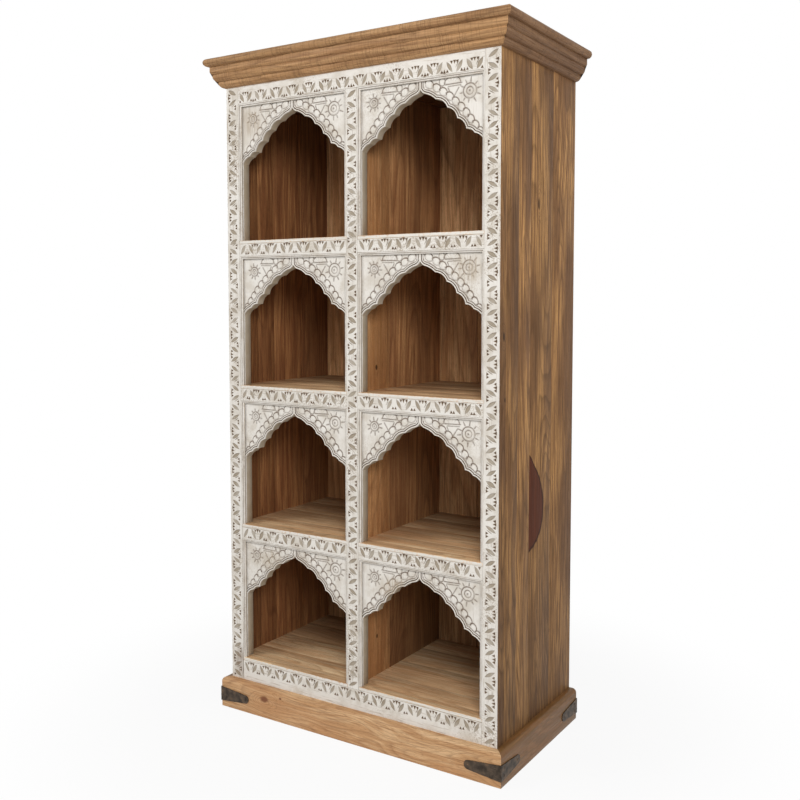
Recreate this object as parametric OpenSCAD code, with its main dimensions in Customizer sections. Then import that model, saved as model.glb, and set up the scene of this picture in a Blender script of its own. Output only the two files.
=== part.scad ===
// Tall open shelving unit: eight cubbies behind a carved, whitewashed face frame.
// The floor is z = 0, the front faces -Y, and the origin is under the middle of the
// whole outline. Rows are counted from the lowest, and left is -X as seen from the front.

/* [Body] */
// Width across the side panels
body_w = 880; // [840:5:960]
// Depth from the carved face to the back
body_d = 460; // [380:5:560]
// Thickness of the side panels
side_t = 25; // [20:1:32]
// Thickness of the upright between the two columns
partition_t = 25; // [20:1:32]
// Thickness of the shelves, the floor and the ceiling
shelf_t = 25; // [20:1:32]
// Thickness of the back boards
back_t = 14; // [10:1:18]
// Number of boards in the back
back_count = 6; // [4:1:8]
// Gap left between two back boards
back_gap = 1; // [0.5:0.1:2]

/* [Rows] */
// Height of the lowest opening
row_h = 354; // [330:1:380]
// How much taller each opening is than the one below it
row_step = 9; // [0:1:12]
// Height that the top row has beyond that step
top_row_more = 6.5; // [0:0.5:12]
// Height from one opening to the next
rail_h = 44.5; // [40:0.5:60]
// Height of the carved base rail above the plinth
base_show = 66; // [60:1:80]
// Height of the carved frieze under the crown
frieze_show = 48.5; // [44:0.5:80]

/* [Face frame] */
// Thickness of the stiles and rails
frame_t = 36; // [30:1:44]
// Width of the outer stiles
stile_w = 44; // [40:1:60]
// Width of the middle upright
mullion_w = 36; // [34:1:50]
// Thickness of the shelf lip that lies over each rail
lip_t = 9; // [6:0.5:12]
// Length of the tenons on the rails
tenon_l = 12; // [8:1:14]
// Thickness of the tenons
tenon_t = 12; // [8:1:14]
// Height of the tenons on the rails between two rows
rail_tenon_h = 20; // [12:1:26]
// Height of the tenons on the frieze and the base rail
wide_tenon_h = 40; // [25:1:50]
// Play round a tenon, a tongue and a housed board
joint_gap = 0.2; // [0.1:0.05:0.4]

/* [Joinery] */
// Depth of the housings that hold the shelves
housing_d = 8; // [5:0.5:9]
// Thickness and length of the tongues behind the face frame
tongue = 8; // [5:1:10]
// Width of the rebate that holds the back boards
rebate_w = 12; // [8:1:14]

/* [Carving] */
// Distance between two leaf cuts along a band
leaf_pitch = 28.3; // [24:0.1:36]
// Length of a leaf cut
leaf_l = 33; // [28:0.5:34]
// Width of a leaf cut
leaf_w = 9; // [6:0.5:11]
// Depth of a leaf cut
leaf_d = 2.2; // [1:0.1:3]
// Lean of a leaf cut away from square to its band
leaf_lean = 30; // [20:1:36]
// Plain strip below the leaf cuts of the frieze
frieze_margin = 0.5; // [0:0.5:16]
// Plain strip above the leaf cuts of the base rail
base_margin = 1; // [0:0.5:6]
// How far the leaf cuts of the other rails lie above the middle of the rail
rail_rise = 1.5; // [0:0.5:3]

/* [Arches] */
// Width of the bead round each opening
bead_w = 8; // [6:0.5:10]
// Depth of the bead, from the carved face to the arch panel
bead_d = 8; // [6:0.5:18]
// Width of the flat along the outer edge of the bead
bead_flat = 1.5; // [0.5:0.5:3]
// Hairline left in the mitres of the bead
mitre_gap = 0.1; // [0.05:0.05:0.3]
// Distance from the top of the opening down to the tip of the arch
tip_drop = 26; // [18:1:30]
// Height of the point that the tip makes above the first two foils
tip_h = 12; // [6:1:16]
// Half the width of that point at its foot
tip_half = 13; // [8:0.5:16]
// Drop from the top of the opening to the foot of the arch
foot_drop = 167; // [150:1:190]
// Rise of each foil, as a part of its width
foil_rise = 0.16; // [0.12:0.01:0.26]
// Width of the raised rim along the foils
rim_w = 4.6; // [3:0.1:6]
// Width of the lower band behind the rim
band_w = 5; // [3:0.1:6]
// Height of the carving above the sunk ground of the panel
relief_h = 2.5; // [1:0.1:4]
// Radius of a scale in the row above the rim
scale_r = 9.5; // [7:0.1:11]
// Number of scales on each half of an arch
scale_count = 10; // [7:1:12]
// Radius of the ring round the rosette
rosette_r = 16.5; // [12:0.5:18]

/* [Crown] */
// Height of the banded cornice moulding
cornice_h = 59; // [50:1:75]
// How far the cornice stands out at its top
cornice_out = 33; // [26:1:40]
// Thickness of the round edged top moulding
bull_t = 23; // [18:1:30]
// How far the top moulding stands out
bull_out = 47; // [42:1:60]
// How far the top moulding reaches in over the body
bull_in = 40; // [30:1:60]
// Leg of the glue blocks under the crown board
block_leg = 30; // [20:1:40]
// Length of the glue blocks
block_l = 60; // [40:1:90]

/* [Plinth] */
// Height of the plinth
plinth_h = 88; // [82:1:120]
// Thickness of the plinth boards
plinth_t = 22; // [18:1:30]
// Radius of the rounded top edge of the plinth
plinth_r = 12; // [6:1:16]
// How far the base rail runs down behind the plinth
base_lap = 25; // [15:1:40]
// Side of the square cleats under the floor board
cleat = 25; // [18:1:32]

/* [Straps] */
// Length of each arm of a corner strap
strap_l = 104; // [90:1:130]
// Thickness of the strap iron
strap_t = 2.5; // [1.5:0.1:4]
// Height of the strap at the corner
strap_h = 42; // [34:1:50]
// Height of the middle of the strap above the floor
strap_z = 39; // [34:1:46]
// Radius of the round end of an arm
strap_tip_r = 12; // [9:0.5:15]
// Distance from the corner to the two nails beside it
nail_inset = 16; // [10:0.5:22]
// Height between those two nails
nail_span = 20; // [14:0.5:26]
// Radius of a nail head
nail_head_r = 3.2; // [2.5:0.1:4]
// Rise of a nail head above the strap
nail_rise = 1.5; // [0.8:0.1:2.5]
// Radius of a nail shank
nail_r = 1.3; // [1:0.1:1.6]
// Length of a nail in the wood
nail_l = 14; // [8:1:18]
// Play round a nail in its hole
nail_gap = 0.1; // [0.05:0.05:0.2]

/* [Hidden] */
$fn = 64;
eps = 0.01;
half_w = body_w / 2;
front_y = bull_out - (bull_out + body_d + strap_t + nail_rise) / 2;
back_y = front_y + body_d;
frame_back = front_y + frame_t;
boards_y = back_y - back_t;
side_in = half_w - side_t;
part_x = partition_t / 2;
stile_in = half_w - stile_w;
mull_x = mullion_w / 2;
cell_w = stile_in - mull_x;
cell_x = (stile_in + mull_x) / 2;
half_cell = cell_w / 2;

mid_y = front_y + frame_t / 2;

// Heights of the rows, where row 0 is the lowest
function floor_z(r) = plinth_h + base_show + r * (row_h + rail_h) + row_step * r * (r - 1) / 2;
function open_h(r) = row_h + r * row_step + (r == 3 ? top_row_more : 0);
function ceil_z(r) = floor_z(r) + open_h(r);
under_floor = floor_z(0) - shelf_t;
ceiling_z = ceil_z(3) + rail_h - shelf_t;
body_top = ceil_z(3) + frieze_show;
carcass_top = body_top + cornice_h;

// Middle heights of the rails, of their leaf cuts and of their tenons
base_z0 = plinth_h - base_lap;
base_z1 = floor_z(0) - lip_t;
base_mid = (base_z0 + base_z1) / 2;
base_carve_z = base_z1 - base_margin - leaf_l / 2;
frieze_mid = (ceil_z(3) + carcass_top) / 2;
frieze_carve_z = ceil_z(3) + frieze_margin + leaf_l / 2;
function rail_mid(r) = (ceil_z(r - 1) + floor_z(r) - lip_t) / 2;

// Corners where two foils of the arch meet, on the right half of a panel, measured
// from the middle of the top of the opening. The inner ones are shares of the arch's
// half width and drop.
foot_x = half_cell - bead_w;
core_inset = 2;
foot_tail = 6;
first_rise = 0.07;
foil_shares = [[0.248, 0.332], [0.436, 0.475], [0.592, 0.647], [0.734, 0.817], [0.862, 0.887]];
cusps = concat(
    [[tip_half, -(tip_drop + tip_h)]],
    [for (f = foil_shares) [f[0] * foot_x, -f[1] * foot_drop]],
    [[foot_x, -foot_drop]]
);

// Carving above the arch, from the same point
band_share = 0.6;
line_gap = 0.6;
scale_first = [24, -16];
scale_last = [foot_x - 9, -foot_drop + 28];
scale_bow = 13;
rosette_at = [half_cell - 44, -42];
fan_at = [half_cell / 2 + 1, -25];
fan_r = 22;
fan_foot = 3;
petal_at = [half_cell / 3, -14];
petal_r = 7.6;

// Corners between the bands of the cornice, as shares of its reach and its height
cornice_steps = [[0.06, 0], [0.48, 0.29], [0.82, 0.63], [1, 1]];
cornice_round = 0.2;
cornice_groove_r = 1;

// Where the glue blocks stand along a side, as shares of its inner depth
block_places = [0.3, 0.8];

// Nails of a strap, as distances along an arm from the corner and heights
nail_sites = [
    [nail_inset, strap_z + nail_span / 2],
    [nail_inset, strap_z - nail_span / 2],
    [strap_l - strap_tip_r, strap_z]
];

COLUMNS = ["left", "right"];

// Box between two corners
module block(x, y, z) {
    translate([x[0], y[0], z[0]])
        cube([x[1] - x[0], y[1] - y[0], z[1] - z[0]]);
}

// Plate drawn in X and Z, from y back by t
module plate_xz(y, t) {
    translate([0, y + t, 0])
        rotate([90, 0, 0])
            linear_extrude(t)
                children();
}

// Work laid on the carved face at x and z, turned about the line of sight
module on_face(x, z, turn = 0) {
    translate([x, front_y, z])
        rotate([90, 0, 0])
            rotate([0, 0, turn])
                children();
}

// Side -1 is the left one
module sided(s) {
    if (s < 0)
        mirror([1, 0, 0]) children();
    else
        children();
}

// V shaped cut with a leaf outline: the overlap of two large balls above the face
module leaf_cut() {
    half_l = leaf_l / 2;
    rim_r = (half_l * half_l / leaf_d + leaf_d) / 2;
    spread = (half_l * half_l - leaf_w * leaf_w / 4) / leaf_w;
    ball_r = sqrt(rim_r * rim_r + spread * spread);
    intersection_for(s = [-1, 1])
        translate([s * spread, 0, rim_r - leaf_d])
            rotate([0, 0, 90])
                sphere(ball_r, $fn = 128);
}

// Row of leaf cuts that lean left and right by turns
module leaf_row(length) {
    count = round(length / leaf_pitch);
    step = length / count;
    for (k = [0 : count - 1])
        translate([(k + 0.5) * step - length / 2, 0, 0])
            rotate([0, 0, (k % 2 == 0 ? 1 : -1) * leaf_lean])
                leaf_cut();
}

// Places of the nails on all four straps, each pointing out of the wood
module nail_places() {
    out_x = half_w + plinth_t;
    out_y = front_y - plinth_t;
    for (s = [-1, 1])
        for (n = nail_sites) {
            translate([s * (out_x - n[0]), out_y, n[1]])
                rotate([90, 0, 0])
                    children();
            translate([s * (out_x - n[0]), back_y, n[1]])
                rotate([-90, 0, 0])
                    children();
            for (y = [out_y + n[0], back_y - n[0]])
                translate([s * out_x, y, n[1]])
                    rotate([0, s * 90, 0])
                        children();
        }
}

module nail_holes() {
    nail_places()
        translate([0, 0, -nail_l - nail_gap])
            cylinder(r = nail_r + nail_gap, h = nail_l + strap_t + 2 * nail_gap);
}

// Carcass

module side_panel(s) {
    tongue_x = half_w - (side_t + tongue) / 2;
    sided(s)
        color("peru")
            difference() {
                union() {
                    block([side_in, half_w], [frame_back, back_y], [0, carcass_top]);
                    block([tongue_x, tongue_x + tongue], [frame_back - tongue, frame_back + 1],
                          [0, carcass_top]);
                }
                for (z = [for (r = [0 : 3]) floor_z(r) - shelf_t, ceiling_z])
                    block([side_in - 1, side_in + housing_d + joint_gap],
                          [frame_back - eps, boards_y],
                          [z, z + shelf_t + joint_gap]);
                block([side_in - 1, side_in + rebate_w], [boards_y, back_y + 1],
                      [under_floor, carcass_top + 1]);
                nail_holes();
            }
}

module partition() {
    color("sienna")
        difference() {
            union() {
                block([-part_x, part_x], [frame_back, boards_y],
                      [floor_z(0) - housing_d, ceiling_z + housing_d]);
                block([-tongue / 2, tongue / 2], [frame_back - tongue, frame_back + 1],
                      [floor_z(0), ceil_z(3)]);
            }
            for (s = [-1, 1])
                for (r = [1 : 3])
                    sided(s)
                        block([part_x - housing_d - joint_gap, part_x + 1],
                              [frame_back - eps, boards_y + 1],
                              [floor_z(r) - shelf_t, floor_z(r) + joint_gap]);
        }
}

// Lip of a shelf that lies over the rail, between the two uprights
module lip(z) {
    block([mull_x, stile_in], [front_y, frame_back + 1], [z - lip_t, z]);
}

module shelf(s, r) {
    sided(s)
        color("burlywood") {
            block([part_x - housing_d, side_in + housing_d], [frame_back, boards_y],
                  [floor_z(r) - shelf_t, floor_z(r)]);
            lip(floor_z(r));
        }
}

// Slot that takes the end of the partition
module partition_slot(z, h) {
    block([-part_x - joint_gap, part_x + joint_gap], [frame_back - 1, boards_y + 1], [z, z + h]);
}

module bottom_board() {
    reach = side_in + housing_d;
    color("burlywood")
        difference() {
            union() {
                block([-reach, reach], [frame_back, boards_y], [under_floor, floor_z(0)]);
                for (s = [-1, 1])
                    sided(s)
                        lip(floor_z(0));
            }
            partition_slot(floor_z(0) - housing_d, housing_d + 1);
        }
}

module top_board() {
    reach = side_in + housing_d;
    color("burlywood")
        difference() {
            block([-reach, reach], [frame_back, boards_y], [ceiling_z, ceiling_z + shelf_t]);
            partition_slot(ceiling_z - 1, housing_d + joint_gap + 1);
        }
}

module back_boards() {
    reach = side_in + rebate_w - joint_gap;
    board_w = (2 * reach - (back_count - 1) * back_gap) / back_count;
    color("saddlebrown")
        for (k = [0 : back_count - 1])
            translate([k * (board_w + back_gap) - reach, 0, 0])
                block([0, board_w], [boards_y, back_y], [under_floor, carcass_top]);
}

module bottom_cleats() {
    color("tan")
        for (s = [-1, 1])
            sided(s)
                block([side_in - cleat, side_in], [frame_back, back_y - plinth_t],
                      [under_floor - cleat, under_floor]);
}

// Face frame

// Tenon at the end of a rail, or the mortise for it with some play
module tenon(x, z, h, play = 0) {
    length = tenon_l + (play > 0 ? 1 : 0);
    block([x - 1, x + length], [mid_y - tenon_t / 2 - play, mid_y + tenon_t / 2 + play],
          [z - h / 2 - play, z + h / 2 + play]);
}

module stile(s) {
    groove_x = half_w - (side_t + tongue) / 2;
    sided(s)
        color("whitesmoke")
            difference() {
                block([stile_in, half_w], [front_y, frame_back], [0, carcass_top]);
                block([groove_x - joint_gap, groove_x + tongue + joint_gap],
                      [frame_back - tongue - joint_gap, frame_back + 1], [-1, carcass_top + 1]);
                for (r = [1 : 3])
                    tenon(stile_in, rail_mid(r), rail_tenon_h, joint_gap);
                tenon(stile_in, base_mid, wide_tenon_h, joint_gap);
                tenon(stile_in, frieze_mid, wide_tenon_h, joint_gap);
                on_face((half_w + stile_in) / 2, (plinth_h + body_top) / 2, 90)
                    leaf_row(body_top - plinth_h);
                nail_holes();
            }
}

module mullion() {
    color("whitesmoke")
        difference() {
            union() {
                block([-mull_x, mull_x], [front_y, frame_back], [base_z1, ceil_z(3)]);
                block([-mull_x / 2, mull_x / 2], [mid_y - tenon_t / 2, mid_y + tenon_t / 2],
                      [base_z1 - tenon_l, ceil_z(3) + tenon_l]);
            }
            block([-tongue / 2 - joint_gap, tongue / 2 + joint_gap],
                  [frame_back - tongue - joint_gap, frame_back + 1],
                  [floor_z(0) - 1, ceil_z(3) + 1]);
            for (s = [-1, 1])
                for (r = [1 : 3])
                    sided(-s)
                        translate([-2 * mull_x, 0, 0])
                            tenon(mull_x, rail_mid(r), rail_tenon_h, joint_gap);
            on_face(0, (base_z1 + ceil_z(3)) / 2, 90)
                leaf_row(ceil_z(3) - base_z1);
        }
}

// Mortise for the end of the mullion
module mullion_mortise(z) {
    block([-mull_x / 2 - joint_gap, mull_x / 2 + joint_gap],
          [mid_y - tenon_t / 2 - joint_gap, mid_y + tenon_t / 2 + joint_gap],
          [z - tenon_l - 1, z + tenon_l + 1]);
}

module wide_rail(z0, z1, mid, carve_z, mullion_z) {
    color("whitesmoke")
        difference() {
            union() {
                block([-stile_in, stile_in], [front_y, frame_back], [z0, z1]);
                for (s = [-1, 1])
                    sided(s)
                        tenon(stile_in, mid, wide_tenon_h);
            }
            mullion_mortise(mullion_z);
            on_face(0, carve_z)
                leaf_row(2 * stile_in);
        }
}

module frieze_rail() {
    wide_rail(ceil_z(3), carcass_top, frieze_mid, frieze_carve_z, ceil_z(3));
}

module base_rail() {
    wide_rail(base_z0, base_z1, base_mid, base_carve_z, base_z1);
}

module rail(s, r) {
    z0 = ceil_z(r - 1);
    z1 = floor_z(r) - lip_t;
    sided(s)
        color("whitesmoke")
            difference() {
                union() {
                    block([mull_x, stile_in], [front_y, frame_back], [z0, z1]);
                    tenon(stile_in, rail_mid(r), rail_tenon_h);
                    mirror([1, 0, 0])
                        tenon(-mull_x, rail_mid(r), rail_tenon_h);
                }
                on_face(cell_x, rail_mid(r) + rail_rise)
                    leaf_row(cell_w);
            }
}

// Bead round an opening, as three mitred sticks

// Section of the bead: a narrow flat, then a quarter round down to the inner side
module bead_profile() {
    nose_r = bead_w - bead_flat;
    translate([0, nose_r])
        square([bead_w, bead_d - nose_r]);
    intersection() {
        translate([bead_flat, nose_r])
            circle(nose_r);
        square([bead_w, bead_d]);
    }
    square([bead_flat, bead_d]);
}

module bead_leg(h) {
    difference() {
        linear_extrude(h)
            bead_profile();
        translate([0, -1, h - mitre_gap])
            rotate([0, 45, 0])
                cube([4 * bead_w, bead_d + 2, 4 * bead_w]);
    }
}

module bead_top(w) {
    intersection() {
        rotate([0, 90, 0])
            linear_extrude(w)
                bead_profile();
        translate([0, bead_d, 0])
            rotate([90, 0, 0])
                linear_extrude(bead_d)
                    polygon([[0, 0], [w, 0], [w - bead_w - 1, -bead_w - 1], [bead_w + 1, -bead_w - 1]]);
    }
}

module bead(s, r) {
    h = open_h(r);
    sided(s)
        color("linen")
            translate([mull_x, front_y, floor_z(r)]) {
                bead_leg(h);
                translate([cell_w, 0, 0])
                    mirror([1, 0, 0])
                        bead_leg(h);
                translate([0, 0, h])
                    bead_top(cell_w);
            }
}

// Arch panels

// Arc from a to b that stands out to the left of the way by a share of the chord
function chord(a, b) = norm(b - a);
function arc_r(a, b, rise) = chord(a, b) * (0.25 + rise * rise) / (2 * rise);
function arc_centre(a, b, rise) = (a + b) / 2
    + [b[1] - a[1], a[0] - b[0]] / chord(a, b) * (arc_r(a, b, rise) - rise * chord(a, b));

function foil(k) = k == 0 ? first_rise : foil_rise;

// Opening of the arch, moved out by grow: a core behind the corners, the half of a disc
// for each foil and the notch at the tip
module arch_outline(grow) {
    last = len(cusps) - 1;
    core = [for (c = cusps) [c[0] - core_inset, c[1] - core_inset]];
    foot_z = cusps[last][1] - foot_tail;
    intersection() {
        union() {
            for (s = [0, 1])
                mirror([s, 0]) {
                    polygon(concat([[-core_inset, foot_z], [-core_inset, core[0][1]]], core,
                                   [[foot_x + grow + 1, core[last][1] - 1],
                                    [foot_x + grow + 1, foot_z]]));
                    intersection() {
                        for (k = [0 : last - 1])
                            translate(arc_centre(cusps[k], cusps[k + 1], foil(k)))
                                circle(arc_r(cusps[k], cusps[k + 1], foil(k)) + grow);
                        translate([-core_inset, foot_z - 1])
                            square([2 * foot_x, 2 * foot_drop]);
                    }
                }
            arch_notch(grow);
        }
        translate([-foot_x - grow, foot_z + 1])
            square([2 * (foot_x + grow), foot_drop + foot_tail]);
    }
}

// Notch at the tip of the opening. Moved out, it runs up to the bead.
module arch_notch(grow) {
    slope = tip_h / tip_half;
    out_z = grow * sqrt(1 + slope * slope) - tip_drop;
    half = grow + tip_half + core_inset;
    polygon(concat(
        grow > 0 ? [[grow, -bead_w], [-grow, -bead_w]] : [],
        [[-grow, out_z - slope * grow], [-half, out_z - slope * half]],
        [[half, out_z - slope * half], [grow, out_z - slope * grow]]
    ));
}

// Domed button, the top of a ball, with its foot one millimetre below the ground
module dome(r, h) {
    ball_r = (r * r + h * h) / (2 * h);
    intersection() {
        translate([0, 0, h - ball_r])
            rotate([90, 0, 0])
                sphere(ball_r, $fn = 180);
        translate([0, 0, -1])
            cylinder(r = r + 1, h = h + 2);
    }
}

// Places of the scales, on a line from the first to the last that bows outwards
function scale_at(k) = let (
        t = k / (scale_count - 1),
        run = scale_last - scale_first,
        bow = scale_bow * sin(180 * t)
    ) scale_first + t * run + bow * [-run[1], run[0]] / norm(run);

module arch_relief() {
    for (s = [-1, 1])
        mirror([s < 0 ? 1 : 0, 0, 0]) {
            for (k = [0 : scale_count - 1])
                translate(scale_at(k))
                    dome(scale_r, relief_h * 0.9);
            translate(rosette_at) {
                dome(rosette_r * 0.5, relief_h);
                rotate_extrude($fn = 48)
                    translate([rosette_r, 0])
                        circle(relief_h * 0.9, $fn = 24);
            }
            translate(petal_at)
                dome(petal_r, relief_h * 0.7);
            translate(fan_at)
                intersection() {
                    dome(fan_r, relief_h * 0.8);
                    translate([-fan_r, fan_foot, -relief_h])
                        cube([2 * fan_r, fan_r, 3 * relief_h]);
                }
        }
}

module arch(s, r) {
    h = open_h(r);
    ground_y = front_y + bead_d + relief_h;
    sided(s)
        color("whitesmoke")
            translate([cell_x, 0, ceil_z(r)]) {
                plate_xz(ground_y, frame_back - ground_y)
                    difference() {
                        translate([-half_cell, -h])
                            square([cell_w, h]);
                        arch_outline(0);
                        translate([-foot_x, -h - 1])
                            square([2 * foot_x, h - foot_drop - 1]);
                    }
                plate_xz(ground_y - relief_h * band_share, relief_h * band_share + 1)
                    rim(rim_w + band_w);
                plate_xz(ground_y - relief_h, relief_h + 1)
                    rim(rim_w);
                difference() {
                    translate([0, ground_y, 0])
                        rotate([90, 0, 0])
                            arch_relief();
                    plate_xz(ground_y - 2 * relief_h, 4 * relief_h)
                        arch_outline(rim_w + band_w + line_gap);
                }
            }
}

// Raised strip along the foils, kept inside the panel
module rim(w) {
    difference() {
        intersection() {
            arch_outline(w);
            translate([-half_cell, -foot_drop - 2])
                square([cell_w, foot_drop + 2]);
        }
        arch_outline(0);
    }
}

// Crown and plinth runs, each cut to its mitre by a plan outline

// Sweeps a profile drawn as outward distance and height along the front
module front_run(profile_w) {
    translate([-profile_w / 2, front_y, 0])
        rotate([90, 0, 90])
            linear_extrude(profile_w)
                mirror([1, 0])
                    children();
}

// The same along the right side
module side_run(x) {
    translate([x, back_y, 0])
        rotate([90, 0, 0])
            linear_extrude(body_d + 2 * bull_out)
                children();
}

module front_plan(out, in) {
    polygon([
        [-half_w - out, front_y - out],
        [half_w + out, front_y - out],
        [half_w - in, front_y + in],
        [-half_w + in, front_y + in]
    ]);
}

module side_plan(out, in) {
    polygon([
        [half_w - in, front_y + in],
        [half_w + out, front_y - out],
        [half_w + out, back_y],
        [half_w - in, back_y]
    ]);
}

module mitred_front(out, in, z, h) {
    intersection() {
        front_run(body_w + 2 * out)
            children();
        translate([0, 0, z])
            linear_extrude(h)
                front_plan(out, in);
    }
}

module mitred_side(out, in, z, h) {
    intersection() {
        side_run(half_w)
            children();
        translate([0, 0, z])
            linear_extrude(h)
                side_plan(out, in);
    }
}

// Three rounded bands that step out towards the top, with a groove between
module cornice_profile() {
    steps = [for (c = cornice_steps) [c[0] * cornice_out, c[1] * cornice_h]];
    translate([0, body_top])
        difference() {
            for (k = [0 : 2])
                cornice_band(steps[k], steps[k + 1]);
            for (k = [1 : 2])
                translate(steps[k])
                    circle(cornice_groove_r);
        }
}

module cornice_band(a, b) {
    c = arc_centre(b, a, cornice_round);
    polygon([[0, a[1]], a, b, [0, b[1]]]);
    intersection() {
        translate(c)
            circle(arc_r(a, b, cornice_round));
        translate([0, a[1]])
            square([cornice_out, b[1] - a[1]]);
    }
}

module cornice_front() {
    color("tan")
        mitred_front(cornice_out, 0, body_top, cornice_h)
            cornice_profile();
}

module cornice_side(s) {
    sided(s)
        color("tan")
            mitred_side(cornice_out, 0, body_top, cornice_h)
                cornice_profile();
}

module bull_profile() {
    r = bull_t / 2;
    translate([-bull_in, carcass_top])
        square([bull_in + bull_out - r, bull_t]);
    translate([bull_out - r, carcass_top + r])
        circle(r);
}

module bullnose_front() {
    color("tan")
        mitred_front(bull_out, bull_in, carcass_top, bull_t)
            bull_profile();
}

module bullnose_side(s) {
    sided(s)
        color("tan")
            mitred_side(bull_out, bull_in, carcass_top, bull_t)
                bull_profile();
}

module crown_board() {
    x = half_w - bull_in;
    color("burlywood")
        block([-x, x], [front_y + bull_in, back_y], [carcass_top, carcass_top + bull_t]);
}

// Three cornered glue block, with its square corner at the top outside
module glue_block() {
    rotate([90, 0, 0])
        linear_extrude(block_l)
            polygon([[0, 0], [-block_leg, 0], [0, -block_leg]]);
}

module crown_blocks() {
    color("tan")
        for (s = [-1, 1])
            sided(s) {
                for (part = block_places)
                    translate([side_in, frame_back + part * (boards_y - frame_back), carcass_top])
                        glue_block();
                translate([half_w / 2, frame_back, carcass_top])
                    rotate([0, 0, -90])
                        glue_block();
            }
}

module plinth_profile() {
    square([plinth_t - plinth_r, plinth_h]);
    square([plinth_t, plinth_h - plinth_r]);
    translate([plinth_t - plinth_r, plinth_h - plinth_r])
        circle(plinth_r);
}

module plinth_front() {
    color("tan")
        difference() {
            mitred_front(plinth_t, 0, 0, plinth_h)
                plinth_profile();
            nail_holes();
        }
}

module plinth_side(s) {
    sided(s)
        color("tan")
            difference() {
                mitred_side(plinth_t, 0, 0, plinth_h)
                    plinth_profile();
                nail_holes();
            }
}

module plinth_back() {
    color("tan")
        difference() {
            block([-side_in, side_in], [back_y - plinth_t, back_y], [0, under_floor]);
            nail_holes();
        }
}

// Forged straps: the arm tapers from the corner to a round end

module strap_arm() {
    tip_u = strap_l - strap_tip_r;
    linear_extrude(strap_t) {
        polygon([[-strap_t, strap_z - strap_h / 2], [tip_u, strap_z - strap_tip_r],
                 [tip_u, strap_z + strap_tip_r], [-strap_t, strap_z + strap_h / 2]]);
        translate([tip_u, strap_z])
            circle(strap_tip_r);
    }
}

module strap(s, back) {
    out_x = half_w + plinth_t;
    flip = back ? 1 : 0;
    sided(s)
        color("dimgray")
            difference() {
                translate([out_x, back ? back_y : front_y - plinth_t, 0])
                    mirror([0, flip, 0]) {
                        rotate([90, 0, 0])
                            mirror([1, 0, 0])
                                strap_arm();
                        rotate([90, 0, 90])
                            strap_arm();
                    }
                nail_holes();
            }
}

module strap_nails() {
    color("gray")
        nail_places() {
            translate([0, 0, -nail_l])
                cylinder(r = nail_r, h = nail_l + strap_t + eps);
            translate([0, 0, strap_t])
                nail_head();
        }
}

module nail_head() {
    ball_r = (nail_head_r * nail_head_r + nail_rise * nail_rise) / (2 * nail_rise);
    rotate_extrude($fn = 32)
        intersection() {
            translate([0, nail_rise - ball_r])
                circle(ball_r, $fn = 90);
            square([nail_head_r + 1, nail_rise + 1]);
        }
}

function side_of(c) = c == "left" ? -1 : 1;

for (c = COLUMNS) {
    side_panel(side_of(c));
    stile(side_of(c));
    cornice_side(side_of(c));
    bullnose_side(side_of(c));
    plinth_side(side_of(c));
    strap(side_of(c), false);
    strap(side_of(c), true);
    for (r = [1 : 3]) {
        shelf(side_of(c), r);
        rail(side_of(c), r);
    }
    for (r = [1 : 4]) {
        arch(side_of(c), r - 1);
        bead(side_of(c), r - 1);
    }
}
partition();
top_board();
bottom_board();
back_boards();
bottom_cleats();
mullion();
frieze_rail();
base_rail();
cornice_front();
bullnose_front();
crown_board();
crown_blocks();
plinth_front();
plinth_back();
strap_nails();
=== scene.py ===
import math
import random
from itertools import product

import bmesh
import bpy
import numpy as np
from mathutils import Matrix, Vector, noise


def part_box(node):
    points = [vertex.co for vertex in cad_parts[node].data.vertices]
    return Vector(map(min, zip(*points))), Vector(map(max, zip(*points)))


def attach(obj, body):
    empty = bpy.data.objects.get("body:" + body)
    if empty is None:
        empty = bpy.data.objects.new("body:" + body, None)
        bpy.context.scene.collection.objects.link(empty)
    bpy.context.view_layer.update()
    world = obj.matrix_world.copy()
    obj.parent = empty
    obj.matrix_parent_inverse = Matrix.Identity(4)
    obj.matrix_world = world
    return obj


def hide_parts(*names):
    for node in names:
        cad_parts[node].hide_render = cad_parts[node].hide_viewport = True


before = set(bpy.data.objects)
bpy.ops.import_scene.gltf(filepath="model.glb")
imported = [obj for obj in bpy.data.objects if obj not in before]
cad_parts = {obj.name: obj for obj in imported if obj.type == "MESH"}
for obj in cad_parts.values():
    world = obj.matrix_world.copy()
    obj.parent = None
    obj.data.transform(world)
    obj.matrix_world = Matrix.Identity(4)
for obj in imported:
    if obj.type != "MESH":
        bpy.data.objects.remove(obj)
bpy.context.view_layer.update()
scene = bpy.context.scene
scene.view_settings.view_transform = "Standard"
print("frame loaded:", len(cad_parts), "nodes")

mm = 0.001

# camera, as the photograph was taken
cameraLook = {"place": (1.49709, -2.31776, 1.20501), "down": 3.516, "turn": 32.52,
              "focalShare": 965.97 / 800, "rise": -0.05, "sensor": 36, "nearest": 0.05}

cameraData = bpy.data.cameras.new("photoCamera")
cameraData.sensor_width = cameraLook["sensor"]
cameraData.lens = cameraLook["focalShare"] * cameraLook["sensor"]
cameraData.shift_y = cameraLook["rise"]
cameraData.clip_start = cameraLook["nearest"]
camera = bpy.data.objects.new("photoCamera", cameraData)
camera.location = cameraLook["place"]
camera.rotation_euler = (math.radians(90 - cameraLook["down"]), 0, math.radians(cameraLook["turn"]))
scene.collection.objects.link(camera)
scene.camera = camera


def linearColour(code):
    parts = [int(code[i:i + 2], 16) / 255 for i in (1, 3, 5)]
    return tuple(p / 12.92 if p <= 0.04045 else ((p + 0.055) / 1.055) ** 2.4 for p in parts) + (1.0,)


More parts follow.
